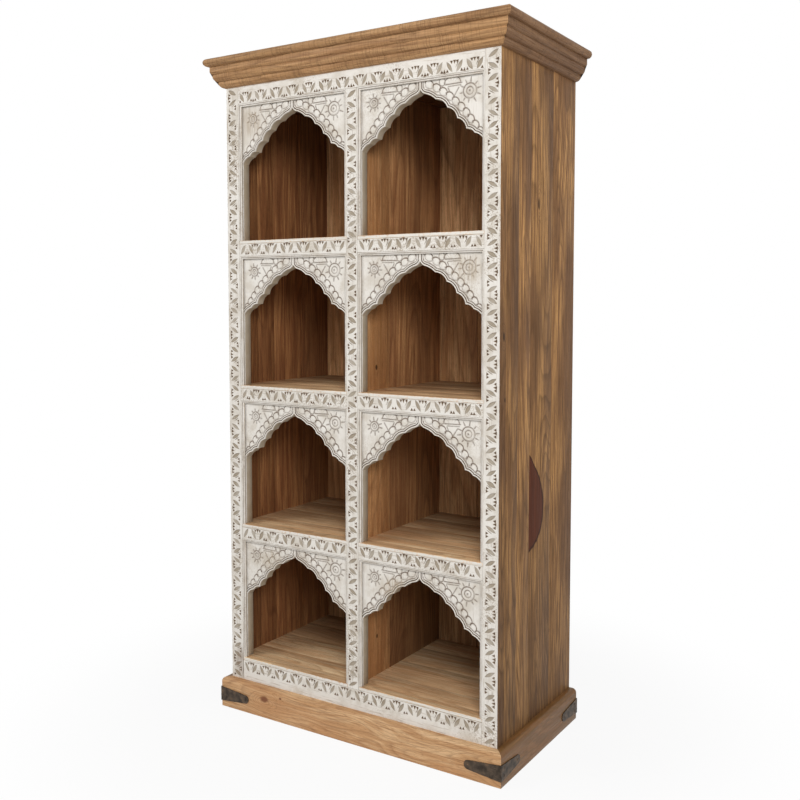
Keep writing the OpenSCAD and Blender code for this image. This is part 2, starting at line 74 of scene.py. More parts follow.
# an input is a value, a socket, or a node whose result is taken
def addNode(owner, kind, inputs=None, stops=None, **settings):
    tree = owner.node_tree
    node = tree.nodes.new("ShaderNode" + kind)
    for key, value in settings.items():
        setattr(node, key, value)
    if stops:
        ramp = node.color_ramp
        for element, stop in ((ramp.elements[0], stops[0]), (ramp.elements[1], stops[-1])):
            element.position = stop[0]
            element.color = stop[1]
        for place, colour in stops[1:-1]:
            ramp.elements.new(place).color = colour
    for key, value in (inputs or {}).items():
        if isinstance(value, bpy.types.Node):
            value = next(socket for socket in value.outputs if socket.enabled)
        if isinstance(value, bpy.types.NodeSocket):
            tree.links.new(value, node.inputs[key])
        else:
            node.inputs[key].default_value = value
    return node


def addMaths(owner, operation, *values):
    return addNode(owner, "Math", dict(enumerate(values)), operation=operation)


def addVectorMaths(owner, operation, *values):
    return addNode(owner, "VectorMath", dict(enumerate(values)), operation=operation)


# maps low to high onto start to end
def addRange(owner, value, low, high, start=0.0, end=1.0, step="SMOOTHSTEP"):
    inputs = {"Value": value, "From Min": low, "From Max": high, "To Min": start, "To Max": end}
    return addNode(owner, "MapRange", inputs, interpolation_type=step)


# a colour with another one over it by the amount
def addMix(owner, amount, colour, over):
    return addNode(owner, "Mix", {0: amount, 6: colour, 7: over}, data_type="RGBA")


def newMaterial(name):
    material = bpy.data.materials.new(name)
    material.use_nodes = True
    material.node_tree.nodes.clear()
    return material


def grey(level):
    return (level, level, level, 1.0)


# noise scale of a pattern whose grain has this size in mm
def repeats(size):
    return round(1000 / size, 1)


def grainScale(look, across, length):
    scale = [repeats(across)] * 3
    scale["XYZ".index(look["grain"])] = repeats(length)
    return scale


def newPiece(name, bm, materials, nodes, sharp=35):
    mesh = bpy.data.meshes.new(name)
    bm.to_mesh(mesh)
    bm.free()
    for material in materials:
        mesh.materials.append(material)
    mesh.shade_smooth()
    mesh.set_sharp_from_angle(angle=math.radians(sharp))
    piece = bpy.data.objects.new(name, mesh)
    scene.collection.objects.link(piece)
    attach(piece, "root")
    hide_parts(*nodes)


def newMesh():
    bm = bmesh.new()
    bm.verts.layers.float_vector.new("board")
    bm.verts.layers.float.new("stain")
    return bm


# each board gets its own stretch of the wood pattern
def markBoard(bm, shift):
    board = bm.verts.layers.float_vector["board"]
    for v in bm.verts:
        if v[board].length == 0:
            v[board] = shift


def randomShift(rng):
    return Vector((rng.uniform(2, 9), rng.uniform(2, 9), rng.uniform(2, 9)))


def addBox(bm, low, high, edge, segments=2):
    low, high = Vector(low), Vector(high)
    made = bmesh.ops.create_cube(bm, size=1.0)["verts"]
    bmesh.ops.scale(bm, vec=high - low, verts=made)
    bmesh.ops.translate(bm, vec=(low + high) / 2, verts=made)
    if edge:
        edges = list({e for v in made for e in v.link_edges})
        bmesh.ops.bevel(bm, geom=edges, affect="EDGES", offset=edge, segments=segments, profile=0.5, material=-1)


# closed sections joined into one bar with filled ends, sections[i][j] is a point
def addLoft(bm, sections, stains=None):
    count, around = len(sections), len(sections[0])
    stain = bm.verts.layers.float["stain"]
    made = bmesh.ops.create_grid(bm, x_segments=count - 1, y_segments=around, size=0.5)["verts"]
    seam = []
    for v in made:
        i = round((v.co.x + 0.5) * (count - 1))
        j = round((v.co.y + 0.5) * around)
        v.co = sections[i][j % around]
        if stains is not None:
            v[stain] = stains[j % around]
        if j % around == 0:
            seam.append(v)
    bmesh.ops.remove_doubles(bm, verts=seam, dist=1e-7)
    made = [v for v in made if v.is_valid]
    rim = list({e for v in made for e in v.link_edges if e.is_boundary})
    bmesh.ops.holes_fill(bm, edges=rim, sides=0)


def finishNormals(bm):
    bmesh.ops.recalc_face_normals(bm, faces=bm.faces)


# Grain of the wood: size in mm across and along, detail, roughness, and whether it
# follows the bends of the figure. Real fibres and pores are about 0.1 mm wide, too
# fine to show, so they are drawn as coarse as they need to be.
grainLook = {
    "figure": (111.0, 1111.0, 1.0, 0.4, True),
    "streak": (14.29, 455.0, 3.0, 0.55, True),
    "fibre": (2.381, 111.0, 2.0, 0.6, False),
    "pore": (1.4286, 22.2, 1.0, 0.5, False),
    "cloud": (143.0, 500.0, 3.0, 0.55, False),
    "thread": (4.762, 200.0, 3.0, 0.6, True),
}


# Planed mango wood under wax: tan and brown bands, long flame figure, short dark pores.
def makeWood(name, look):
    wood = newMaterial(name)
    place = addNode(wood, "TexCoord").outputs["Object"]
    apart = addNode(wood, "SeparateXYZ", {0: place}).outputs
    board = addNode(wood, "Attribute", attribute_name="board").outputs["Vector"]
    moved = addVectorMaths(wood, "ADD", place, board)

    # slow bends of about 200 mm
    bend = addVectorMaths(wood, "MULTIPLY", moved, grainScale(look, 200.0, 588.0))
    bend = addNode(wood, "TexNoise", {"Vector": bend, "Scale": 1.0, "Detail": 2.0}).outputs["Color"]
    bend = addVectorMaths(wood, "SUBTRACT", bend, (0.5, 0.5, 0.5))
    bend = addNode(wood, "VectorMath", {0: bend, "Scale": look.get("bend", 0.05)}, operation="SCALE")
    bent = addVectorMaths(wood, "ADD", moved, bend)

    grain = {}
    for kind, (across, length, detail, roughness, bends) in grainLook.items():
        across, length = look.get(kind + "Size", (across, length))
        stretched = addVectorMaths(wood, "MULTIPLY", bent if bends else moved, grainScale(look, across, length))
        grain[kind] = addNode(wood, "TexNoise", {"Vector": stretched, "Scale": 1.0, "Detail": detail,
                                                 "Roughness": roughness})

    # the rings run round each knot
    phase = addMaths(wood, "MULTIPLY", grain["figure"], look["rings"])
    knots = None
    for centre, radii in look.get("knots", ()):
        away = addVectorMaths(wood, "SUBTRACT", place, centre)
        away = addVectorMaths(wood, "MULTIPLY", away, [1 / r for r in radii])
        away = addVectorMaths(wood, "LENGTH", away)
        wobble = addNode(wood, "TexNoise", {"Vector": place, "Scale": repeats(16.67), "Detail": 2.0})
        away = addMaths(wood, "MULTIPLY_ADD", wobble, 0.5, away)
        swirl = addRange(wood, away, 3.2, 0.4, end=4.0)
        phase = addMaths(wood, "ADD", phase, swirl)
        knot = addRange(wood, away, 1.25, 0.7, end=0.85)
        knots = addMaths(wood, "MAXIMUM", knots, knot) if knots else knot
    ring = addMaths(wood, "FRACT", phase)
    ringLine = addNode(wood, "ValToRGB", {"Fac": ring}, stops=[
        (0.0, grey(0.1)), (0.12, grey(0.0)), (0.6, grey(0.25)), (0.9, grey(1.0)), (1.0, grey(0.1))])

    # light bands, darker layers over them
    middle, dark, patch = (linearColour(look[key]) for key in ("middle", "dark", "patch"))
    bands = addMaths(wood, "MULTIPLY", grain["streak"], 0.55)
    bands = addMaths(wood, "MULTIPLY_ADD", grain["thread"], 0.45, bands)
    colour = linearColour(look["light"])
    for source, low, high, step, strength, tint in (
            (bands, 0.42, 0.56, "SMOOTHSTEP", 1.0, middle),
            (grain["cloud"], 0.42, 0.62, "SMOOTHSTEP", look["patchy"], patch),
            (ringLine, 0.0, 1.0, "LINEAR", look["ringStrength"], dark),
            (grain["fibre"], 0.5, 0.72, "SMOOTHSTEP", 0.45, dark),
            (grain["pore"], 0.6, 0.7, "SMOOTHSTEP", 0.5, dark)):
        amount = addRange(wood, source, low, high, end=strength, step=step)
        colour = addMix(wood, amount, colour, tint)

    # each board has its own tone, and painted shade makes some darker downwards or towards the back
    boardTone = addNode(wood, "TexWhiteNoise", {"Vector": board}, noise_dimensions="3D")
    tone = addRange(wood, boardTone, 0.0, 1.0, 1 - look["boards"], 1 + look["boards"], step="LINEAR")
    for key, axis, start, end in (("lowDark", "Z", 1.1, 0.1), ("backDark", "Y", -0.14, 0.16)):
        if key in look:
            shade = addRange(wood, apart[axis], start, end, 1.0, 1 - look[key])
            tone = addMaths(wood, "MULTIPLY", tone, shade)
    colour = addNode(wood, "HueSaturation", {"Value": tone, "Color": colour})

    # heartwood cut by a glue line: pointed above its middle, shorter and round below
    for centre, radii, inner, rim in look.get("hearts", ()):
        away = addVectorMaths(wood, "SUBTRACT", place, centre)
        away = addVectorMaths(wood, "MULTIPLY", away, [1 / r for r in radii])
        heartApart = addNode(wood, "SeparateXYZ", {0: away}).outputs
        below = addMaths(wood, "MULTIPLY", heartApart["Z"], -1.4)
        upDown = addMaths(wood, "MAXIMUM", heartApart["Z"], below)
        upDown = addMaths(wood, "MULTIPLY", upDown, upDown)
        pointed = addMaths(wood, "ADD", heartApart["Y"], upDown)
        rounded = addMaths(wood, "MULTIPLY_ADD", heartApart["Y"], heartApart["Y"], upDown)
        rounded = addMaths(wood, "POWER", rounded, 0.5)
        above = addRange(wood, heartApart["Z"], -0.1, 0.1)
        distance = addNode(wood, "Mix", {0: above, 2: rounded, 3: pointed}, data_type="FLOAT")
        wobble = addVectorMaths(wood, "MULTIPLY", place, grainScale(look, 22.2, 167.0))
        wobble = addNode(wood, "TexNoise", {"Vector": wobble, "Scale": 1.0, "Detail": 2.0})
        distance = addMaths(wood, "MULTIPLY_ADD", wobble, 0.12, distance)
        inBoard = addRange(wood, apart["Y"], centre[1] - 0.4 * mm, centre[1] + 0.4 * mm)
        heart = addRange(wood, distance, 1.12, 1.06)
        heart = addMaths(wood, "MULTIPLY", heart, inBoard)
        edge = addRange(wood, distance, 0.98, 1.07)
        edge = addMaths(wood, "MULTIPLY", edge, heart)
        streaks = addRange(wood, grain["streak"], 0.36, 0.64, end=0.3)
        rings = addMaths(wood, "MULTIPLY", ringLine, 0.25)
        heartColour = linearColour(inner)
        for amount in (streaks, rings, edge):
            heartColour = addMix(wood, amount, heartColour, linearColour(rim))
        colour = addMix(wood, heart, colour, heartColour)
    if knots:
        knotColour = linearColour(look.get("knotColour", "#2A1A10"))
        colour = addMix(wood, knots, colour, knotColour)

    # what lies in front of this Y is painted, with a ragged edge
    if "painted" in look:
        ragged = addNode(wood, "TexNoise", {"Vector": place, "Scale": repeats(7.143), "Detail": 3.0})
        front = addMaths(wood, "MULTIPLY_ADD", ragged, 1.6 * mm, apart["Y"])
        painted = addRange(wood, front, look["painted"] + 1.4 * mm, look["painted"] + 0.8 * mm)
        paint = addRange(wood, grain["fibre"], 0.45, 0.7)
        paint = addMix(wood, paint, linearColour("#E6E1D8"), linearColour("#CFC5B6"))
        colour = addMix(wood, painted, colour, paint)

    pores = addRange(wood, grain["pore"], 0.6, 0.7)
    relief = [(grain["fibre"], 0.6), (ringLine, -0.25), (pores, -0.6)]
    if "chatter" in look:                       # cutter marks across the moulding, this many mm apart
        marks = addVectorMaths(wood, "MULTIPLY", moved, grainScale(look, 83.3, look["chatter"]))
        marks = addNode(wood, "TexNoise", {"Vector": marks, "Scale": 1.0, "Detail": 2.0})
        relief.append((marks, 1.1))
        amount = addRange(wood, marks, 0.5, 0.64, end=0.34)
        colour = addMix(wood, amount, colour, dark)
    height = 0.0
    for source, strength in relief:
        height = addMaths(wood, "MULTIPLY_ADD", source, strength, height)
    bump = addNode(wood, "Bump", {"Strength": look.get("bump", 0.35), "Distance": 0.6 * mm, "Height": height})
    rough = addRange(wood, grain["fibre"], 0.3, 0.7, look["rough"] - 0.06, look["rough"] + 0.1)
    shader = addNode(wood, "BsdfPrincipled", {"Base Color": colour, "Roughness": rough, "Normal": bump, "IOR": 1.46,
                                              "Specular IOR Level": look.get("shine", 0.28)})
    addNode(wood, "OutputMaterial", {"Surface": shader})
    return wood


# Patterns of the whitewash: size in mm across and along the grain, detail, roughness.
# The brush streaks are drawn coarser than real bristle marks, which would not show.
washLook = {
    "streak": (3.333, 62.5, 3.0, 0.6), "cloud": (45.5, 45.5, 4.0, 0.6), "speck": (3.846, 3.846, 3.0, 0.65),
    "wear": (143.0, 143.0, 3.0, 0.5), "patch": (29.4, 29.4, 1.0, 0.5),
}


# Thin lime or milk paint rubbed over carved mango wood: chalky white, grey and tan where cut or worn.
def makeWhitewash(name, look):
    wash = newMaterial(name)
    place = addNode(wash, "TexCoord").outputs["Object"]
    board = addNode(wash, "Attribute", attribute_name="board").outputs["Vector"]
    stain = addNode(wash, "Attribute", attribute_name="stain").outputs["Fac"]
    moved = addVectorMaths(wash, "ADD", place, board)
    grain = {}
    for kind, (across, length, detail, roughness) in washLook.items():
        stretched = addVectorMaths(wash, "MULTIPLY", moved, grainScale(look, across, length))
        grain[kind] = addNode(wash, "TexNoise", {"Vector": stretched, "Scale": 1.0, "Detail": detail,
                                                 "Roughness": roughness})

    # thin places, bare streaks and worn specks
    paint, thin, bare, dirt = (linearColour(look[key]) for key in ("paint", "thin", "bare", "dirt"))
    amounts = {}
    for key, source, low, high, least, most in (
            ("thin", grain["cloud"], 0.4, 0.68, 0.0, 1.0),
            ("streaks", grain["streak"], 0.56, 0.72, 0.0, look["streaks"]),
            ("worn", grain["wear"], 0.46, 0.68, 0.0, look.get("worn", 0.7)),
            ("specks", grain["speck"], 0.5, 0.62, 0.0, 1.0),
            ("patches", grain["patch"], 0.36, 0.62, look.get("palest", 0.65), 1.0),
            ("dirt", grain["speck"], 0.25, 0.55, 0.65, 1.0),
            ("marks", grain["streak"], 0.38, 0.6, 0.35, 1.0),
            ("rough", grain["speck"], 0.3, 0.7, 0.72, 0.86)):
        amounts[key] = addRange(wash, source, low, high, least, most)
    worn = addMaths(wash, "MULTIPLY", amounts["worn"], amounts["specks"])
    colour = paint
    for amount, tint in ((amounts["thin"], thin), (amounts["streaks"], bare), (worn, bare)):
        colour = addMix(wash, amount, colour, tint)

    # darker with the depth of the cut, in mm behind the face
    depth = addNode(wash, "SeparateXYZ", {0: place}).outputs["Y"]
    depth = addMaths(wash, "SUBTRACT", depth, look["face"])
    depth = addMaths(wash, "MULTIPLY", depth, 1000.0)
    ragged = addMaths(wash, "SUBTRACT", grain["speck"], 0.5)
    depth = addMaths(wash, "MULTIPLY_ADD", ragged, look["ragged"], depth)
    for start, end, code, strength in look["depths"]:
        amount = addRange(wash, depth, start, end, end=strength)
        amount = addMaths(wash, "MULTIPLY", amount, amounts["patches"])
        colour = addMix(wash, amount, colour, linearColour(code))
    amount = addMaths(wash, "MULTIPLY", stain, amounts["dirt"])
    colour = addMix(wash, amount, colour, dirt)

    # single worn or dirty places, and patches of painted shade such as over the top left arch
    for centre, radii, code, strength in look.get("marks", ()):
        away = addVectorMaths(wash, "SUBTRACT", place, centre)
        away = addVectorMaths(wash, "MULTIPLY", away, [1 / r for r in radii])
        away = addVectorMaths(wash, "LENGTH", away)
        away = addMaths(wash, "MULTIPLY_ADD", grain["cloud"], 0.9, away)
        amount = addRange(wash, away, 1.5, 0.8, end=strength)
        amount = addMaths(wash, "MULTIPLY", amount, amounts["marks"])
        colour = addMix(wash, amount, colour, linearColour(code))

    height = addMaths(wash, "MULTIPLY", grain["streak"], -0.7)
    height = addMaths(wash, "MULTIPLY_ADD", grain["speck"], 0.8, height)
    bump = addNode(wash, "Bump", {"Strength": 0.35, "Distance": 0.6 * mm, "Height": height})
    shader = addNode(wash, "BsdfPrincipled", {"Base Color": colour, "Roughness": amounts["rough"], "Normal": bump,
                                              "IOR": 1.5})
    addNode(wash, "OutputMaterial", {"Surface": shader})
    return wash


# Hand forged iron, blackened and waxed: dark, dented, browner in the dents.
def makeForgedIron(name, look):
    metal = newMaterial(name)
    place = addNode(metal, "TexCoord").outputs["Object"]
    dents = addNode(metal, "TexVoronoi", {"Vector": place, "Scale": repeats(look["dentSize"]), "Smoothness": 0.8},
                    feature="SMOOTH_F1")
    grain = addNode(metal, "TexNoise", {"Vector": place, "Scale": repeats(look["grainSize"]), "Detail": 3.0})
    cloud = addNode(metal, "TexNoise", {"Vector": place, "Scale": repeats(look["cloudSize"]), "Detail": 4.0})
    colour = addNode(metal, "ValToRGB", {"Fac": cloud}, stops=[
        (0.35, linearColour(look["dark"])), (0.55, linearColour(look["steel"])), (0.7, linearColour(look["rust"]))])
    height = addMaths(metal, "MULTIPLY_ADD", dents, grain, 0.15)
    bump = addNode(metal, "Bump", {"Strength": 0.5, "Distance": 0.8 * mm, "Height": height})
    rough = addRange(metal, grain, 0.3, 0.7, 0.42, 0.66, step="LINEAR")
    shader = addNode(metal, "BsdfPrincipled", {"Base Color": colour, "Metallic": 0.85, "Roughness": rough,
                                               "Normal": bump})
    addNode(metal, "OutputMaterial", {"Surface": shader})
    return metal


stileLow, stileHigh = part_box("stile_left")
faceY = stileLow.y                                     # front face of the carved frame
mirrorX = {"left": -1, "right": 1}

# knots: centre and radii, hearts: centre, radii, colour and rim
woodLook = {
    "side": {
        "grain": "Z", "light": "#D6A268", "middle": "#9C724A", "dark": "#3E2612", "patch": "#775438", "patchy": 0.8,
        # painted shade: the side planks and the bare stile sides grow darker towards the bottom
        "rings": 30.0, "ringStrength": 0.42, "boards": 0.14, "bend": 0.06, "rough": 0.58, "lowDark": 0.36,
        "shine": 0.16, "figureSize": (143.0, 1429.0), "streakSize": (9.524, 385.0),
        "knots": [((0.44, 0.013, 1.456), (0.03, 0.007, 0.02)), ((0.44, -0.186, 1.116), (0.03, 0.006, 0.014)),
                  ((0.44, -0.178, 0.96), (0.03, 0.004, 0.008))],
        "hearts": [((0.44, -0.0335, 0.656), (0.09, 0.088, 0.146), "#5E301A", "#2C140A")]},
    "shelf": {
        "grain": "X", "light": "#FADCB0", "middle": "#E8BA8A", "dark": "#94653E", "patch": "#C49C74", "patchy": 0.6,
        # painted shade: the shelf boards grow darker towards the back of the cubbies
        "rings": 22.0, "ringStrength": 0.4, "boards": 0.14, "rough": 0.48, "backDark": 0.45, "painted": faceY,
        "figureSize": (125.0, 1111.0)},
    "inside": {
        "grain": "Z", "light": "#B27F52", "middle": "#8C5C3A", "dark": "#4C2A16", "patch": "#7E5234", "patchy": 0.6,
        "rings": 20.0, "ringStrength": 0.4, "boards": 0.24, "rough": 0.5, "figureSize": (143.0, 1250.0),
        "knots": [((-0.16, 0.2375, 1.47), (0.012, 0.03, 0.02)), ((0.0125, -0.109, 0.265), (0.006, 0.005, 0.007)),
                  ((0.0125, -0.11, 1.021), (0.006, 0.006, 0.009))]},
    "crown": {
        "grain": "X", "light": "#C0966A", "middle": "#9F764F", "dark": "#553820", "patch": "#AD8458", "patchy": 0.6,
        "rings": 14.0, "ringStrength": 0.35, "boards": 0.1, "rough": 0.52, "chatter": 3.03, "bump": 0.5},
    "plinth": {
        "grain": "X", "light": "#E0B98C", "middle": "#C99C6E", "dark": "#7E5232", "patch": "#C08C5E", "patchy": 0.65,
        "rings": 20.0, "ringStrength": 0.35, "boards": 0.1, "bend": 0.12, "rough": 0.42, "figureSize": (83.3, 417.0),
        "knots": [((-0.30, -0.23, 0.055), (0.02, 0.05, 0.012)), ((-0.24, -0.23, 0.07), (0.006, 0.05, 0.005))],
        "knotColour": "#6E3A20"},
    "bare": {
        "grain": "Z", "light": "#B8935F", "middle": "#A07C50", "dark": "#6B4A2C", "patch": "#927048", "patchy": 0.4,
        "rings": 20.0, "ringStrength": 0.3, "boards": 0.15, "rough": 0.7},
}


def woodAlong(key, grain, **changes):
    return makeWood(key + "MangoWood" + grain, {**woodLook[key], "grain": grain, **changes})


sideWood = woodAlong("side", "Z")
shelfWood = woodAlong("shelf", "X")
insideWood = woodAlong("inside", "Z")
crownFrontWood = woodAlong("crown", "X")
# a darker copy of the crown wood for the side runs: painted shade on the faces turned from the light
shadedCrownSideWood = woodAlong("crown", "Y", light="#9A7450", middle="#835E3D", patch="#8A6442")
plinthFrontWood = woodAlong("plinth", "X")
# a darker copy of the plinth wood for the side runs: painted shade on the faces turned from the light
shadedPlinthSideWood = woodAlong("plinth", "Y", light="#8A6238", middle="#705028", patch="#785832")
bareWood = woodAlong("bare", "Z")
partitionFrontWood = woodAlong("inside", "Z", light="#E4B07A", middle="#C8905E", patch="#B68050", dark="#74462A",
                               ringStrength=0.3)
# painted shade: the rear partition plank and the back boards grow darker towards the bottom
partitionBackWood = woodAlong("inside", "Z", light="#D6A06C", middle="#AE7A50", dark="#5C351E", patch="#9A6A46",
                              lowDark=0.45)
backWood = woodAlong("inside", "Z", light="#F2C490", middle="#CC996A", dark="#744A2C", patch="#B68458", lowDark=0.36)
# a darker copy of the inside wood under the top board: painted shade for the ceilings of the top cubbies
shadedCeilingWood = woodAlong("inside", "X", light="#7A5232", middle="#5C3A20", patch="#4E301A")

# depths: from and to in mm behind the face, colour, strength
paintLook = {"paint": "#E6E1D9", "thin": "#D3CBBF", "bare": "#9C8870", "dirt": "#6E5844", "face": faceY,
             "streaks": 0.6, "ragged": 0.15,
             "depths": [(0.02, 0.3, "#8F8270", 0.95), (1.0, 1.9, "#A89B88", 0.6), (3.6, 6.0, "#B0A28D", 1.0)]}
# on the beads the depth bands are painted shade: the side face 4 to 5.2 mm back is darker, and 6.8 to 7.7 mm back is a
# painted shadow line where the bead meets what lies behind it
beadChanges = {"streaks": 0.3, "worn": 0.45, "ragged": 0.8, "dirt": "#6A5540",
               "depths": [(4.0, 5.2, "#B9AB97", 0.8), (6.8, 7.7, "#6E5C49", 0.85)]}
archFace = faceY + 8 * mm


def paintAlong(name, grain, **changes):
    return makeWhitewash(name, {**paintLook, "grain": grain, **changes})


uprightPaint = paintAlong("whitewashOnUprights", "Z", marks=[
    ((-0.405, faceY, 0.135), (0.03, 0.03, 0.06), "#7E6650", 0.75),
    ((-0.392, faceY, 0.12), (0.008, 0.02, 0.05), "#4A3322", 0.9)])
levelPaint = paintAlong("whitewashOnRails", "X")
nickPaint = paintAlong("bareWoodInNicks", "Z", paint="#8A7660", thin="#786550", bare="#5E4B38", streaks=0.2,
                       palest=0.8, depths=[(0.4, 1.6, "#5C4937", 0.9)])
beadPaint = paintAlong("whitewashOnBeads", "Z", **beadChanges)
beadLevelPaint = paintAlong("whitewashOnLevelBeads", "X", **beadChanges)
archPaint = paintAlong("whitewashOnArches", "Z", face=archFace, dirt="#5F4833", streaks=0.25, worn=0.35, ragged=0.8,
                       palest=0.9, depths=[(3.6, 5.0, "#A89880", 0.95)], marks=[
                           # painted shade: a darker patch over the top left arch, where the light falls off
                           ((-0.36, archFace, 1.715), (0.07, 0.04, 0.06), "#A8957C", 0.6),
                           ((-0.30, archFace, 0.455), (0.06, 0.04, 0.04), "#B5A48C", 0.5),
                           ((0.35, archFace, 1.285), (0.06, 0.04, 0.05), "#B5A48C", 0.5),
                           ((0.13, archFace, 0.44), (0.07, 0.04, 0.04), "#B09C82", 0.6)])
iron = makeForgedIron("blackForgedIron", {"dark": "#3A322B", "steel": "#564A3F", "rust": "#6A5644", "dentSize": 6.667,
                                          "grainSize": 2.0, "cloudSize": 16.67})
print("materials made:", len(bpy.data.materials))


# joints are the glue lines between planks, as places along Y
boardLook = {
    "sideJoints": [-0.1055, -0.0335, 0.1015], "partitionJoint": -0.0445, "shelfJoints": [-0.10, 0.02, 0.14],
    "edge": 0.5 * mm, "leastPlank": 10 * mm, "play": 0.2 * mm, "housing": 7 * mm, "lip": 9 * mm, "lipEdge": 1.4 * mm,
    "lipRun": 1 * mm, "backBoards": 6, "backGap": 1 * mm, "backEdge": 1.2 * mm, "cleat": 25 * mm, "cleatEdge": 1 * mm,
}


def addPlanks(bm, low, high, joints, rng, edge=boardLook["edge"]):
    least = boardLook["leastPlank"]
    places = [low.y] + [j for j in joints if low.y + least < j < high.y - least] + [high.y]
    for start, end in zip(places[:-1], places[1:]):
        addBox(bm, (low.x, start, low.z), (high.x, end, high.z), edge)
        markBoard(bm, randomShift(rng))


# exact cut of all cutters from a member, the cutters' materials kept
def cutAway(bodyBm, cutterBm, materials):
    finishNormals(bodyBm)
    finishNormals(cutterBm)
    pair = []
    for label, source in (("body", bodyBm), ("cutter", cutterBm)):
        mesh = bpy.data.meshes.new(label)
        source.to_mesh(mesh)
        source.free()
        for material in materials:
            mesh.materials.append(material)
        thing = bpy.data.objects.new(label, mesh)
        scene.collection.objects.link(thing)
        pair.append(thing)
    cut = pair[0].modifiers.new("cut", "BOOLEAN")
    cut.operation = "DIFFERENCE"
    cut.solver = "EXACT"
    cut.use_self = True
    cut.object = pair[1]
    result = bpy.data.meshes.new_from_object(pair[0].evaluated_get(bpy.context.evaluated_depsgraph_get()))
    bm = newMesh()
    bm.from_mesh(result)
    for thing in pair:
        mesh = thing.data
        bpy.data.objects.remove(thing)
        bpy.data.meshes.remove(mesh)
    bpy.data.meshes.remove(result)
    return bm


# the last plank of a side, with the rebate for the back boards
def addRebatedPlank(bm, low, high, s, rebate):
    past = 1 * mm
    plank, cutter = newMesh(), newMesh()
    addBox(plank, low, high, boardLook["edge"])
    ends = sorted((s * rebate.x, s * (min(abs(low.x), abs(high.x)) - past)))
    addBox(cutter, (ends[0], rebate.y, rebate.z), (ends[1], high.y + past, high.z + past), 0)
    plank = cutAway(plank, cutter, [sideWood])
    mesh = bpy.data.meshes.new("plank")
    plank.to_mesh(mesh)
    plank.free()
    bm.from_mesh(mesh)
    bpy.data.meshes.remove(mesh)


rng = random.Random(11)
backLow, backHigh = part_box("back_boards")
frameBack = stileHigh.y
mullionLow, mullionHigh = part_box("mullion")
for side, s in mirrorX.items():
    low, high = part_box("side_panel_" + side)
    bm = newMesh()
    low.y = frameBack
    joints = boardLook["sideJoints"]
    addPlanks(bm, low, Vector((high.x, joints[-1], high.z)), joints, rng)
    addRebatedPlank(bm, Vector((low.x, joints[-1], low.z)), high, s,
                    Vector((backHigh.x + boardLook["play"], backLow.y, backLow.z)))
    markBoard(bm, randomShift(rng))
    for face in bm.faces:
        if face.normal.x * s < -0.7:                   # the inside
            face.material_index = 1
    newPiece("sidePlanks_" + side, bm, [sideWood, insideWood], ["side_panel_" + side])

low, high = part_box("partition")
bm = newMesh()
low.y = frameBack
addPlanks(bm, low, high, [boardLook["partitionJoint"]], rng)
for face in bm.faces:
    if face.calc_center_median().y > boardLook["partitionJoint"]:
        face.material_index = 1
newPiece("partitionPlanks", bm, [partitionFrontWood, partitionBackWood], ["partition"])

for node in ["top_board", "bottom_board"] + ["shelf_%s_%d" % (side, row) for side in mirrorX for row in (1, 2, 3)]:
    low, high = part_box(node)
    bm = newMesh()
    if node.startswith("shelf"):
        low.x, high.x = low.x + boardLook["housing"], high.x - boardLook["housing"]
    if node != "top_board":
        low.y = frameBack
        lips = [-1, 1] if node == "bottom_board" else [mirrorX[node.split("_")[1]]]
        for s in lips:
            ends = sorted((s * mullionHigh.x, s * -stileHigh.x))
            addBox(bm, (ends[0], faceY, high.z - boardLook["lip"]), (ends[1], frameBack + boardLook["lipRun"], high.z),
                   boardLook["lipEdge"], 3)
            markBoard(bm, randomShift(rng))
    addPlanks(bm, low, high, boardLook["shelfJoints"], rng)
    newPiece(node.replace("_", "") + "Planks", bm, [shadedCeilingWood if node == "top_board" else shelfWood], [node])

bm = newMesh()
width = (backHigh.x - backLow.x) / boardLook["backBoards"]
for k in range(boardLook["backBoards"]):
    start = backLow.x + k * width
    addBox(bm, (start + boardLook["backGap"] / 2, backLow.y, backLow.z),
           (start + width - boardLook["backGap"] / 2, backHigh.y, backHigh.z), boardLook["backEdge"])
    markBoard(bm, randomShift(rng))
newPiece("backPlanks", bm, [backWood], ["back_boards"])

low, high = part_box("bottom_cleats")
bm = newMesh()
for s in (-1, 1):
    ends = sorted((s * high.x, s * (high.x - boardLook["cleat"])))
    addBox(bm, (ends[0], low.y, low.z), (ends[1], high.y, high.z), boardLook["cleatEdge"])
    markBoard(bm, randomShift(rng))
newPiece("bottomCleatSticks", bm, [bareWood], ["bottom_cleats"])
print("carcass boards done")


# Chip carving in mm and degrees. A nick is width, height, depth and the distance to the
# next one, a stroke is distance beside its leaf, length, width and depth.
carveLook = {
    "leafLength": 34.0, "leafWidth": 11.2, "leafDepth": 2.2, "lean": 30.0, "pitch": 28.3, "leafSteps": 10,
    "stroke": (7.6, 20.0, 2.8, 1.2), "bigNick": (9.9, 8.8, 2.8, 8.4), "smallNick": (9.0, 8.4, 2.7, 7.8),
    "nickReach": 14.0, "nickNarrow": 0.97, "middleTaller": 1.3, "nickAbove": 0.15, "tipShare": 0.22, "edge": 0.7 * mm,
    # play of the hand that cuts, and ranges that sizes are multiplied by
    "leanPlay": 2.0, "placePlay": 0.4, "acrossPlay": 0.5, "sizeRange": (0.9, 1.05), "strokeRange": (0.8, 1.1),
    "lengthRange": (0.95, 1.02), "widthRange": (0.86, 1.08), "depthRange": (0.85, 1.1),
    "friezeUp": 17 * mm, "baseDown": 17.5 * mm, "railUp": 1.5 * mm,    # middles of the rows
}


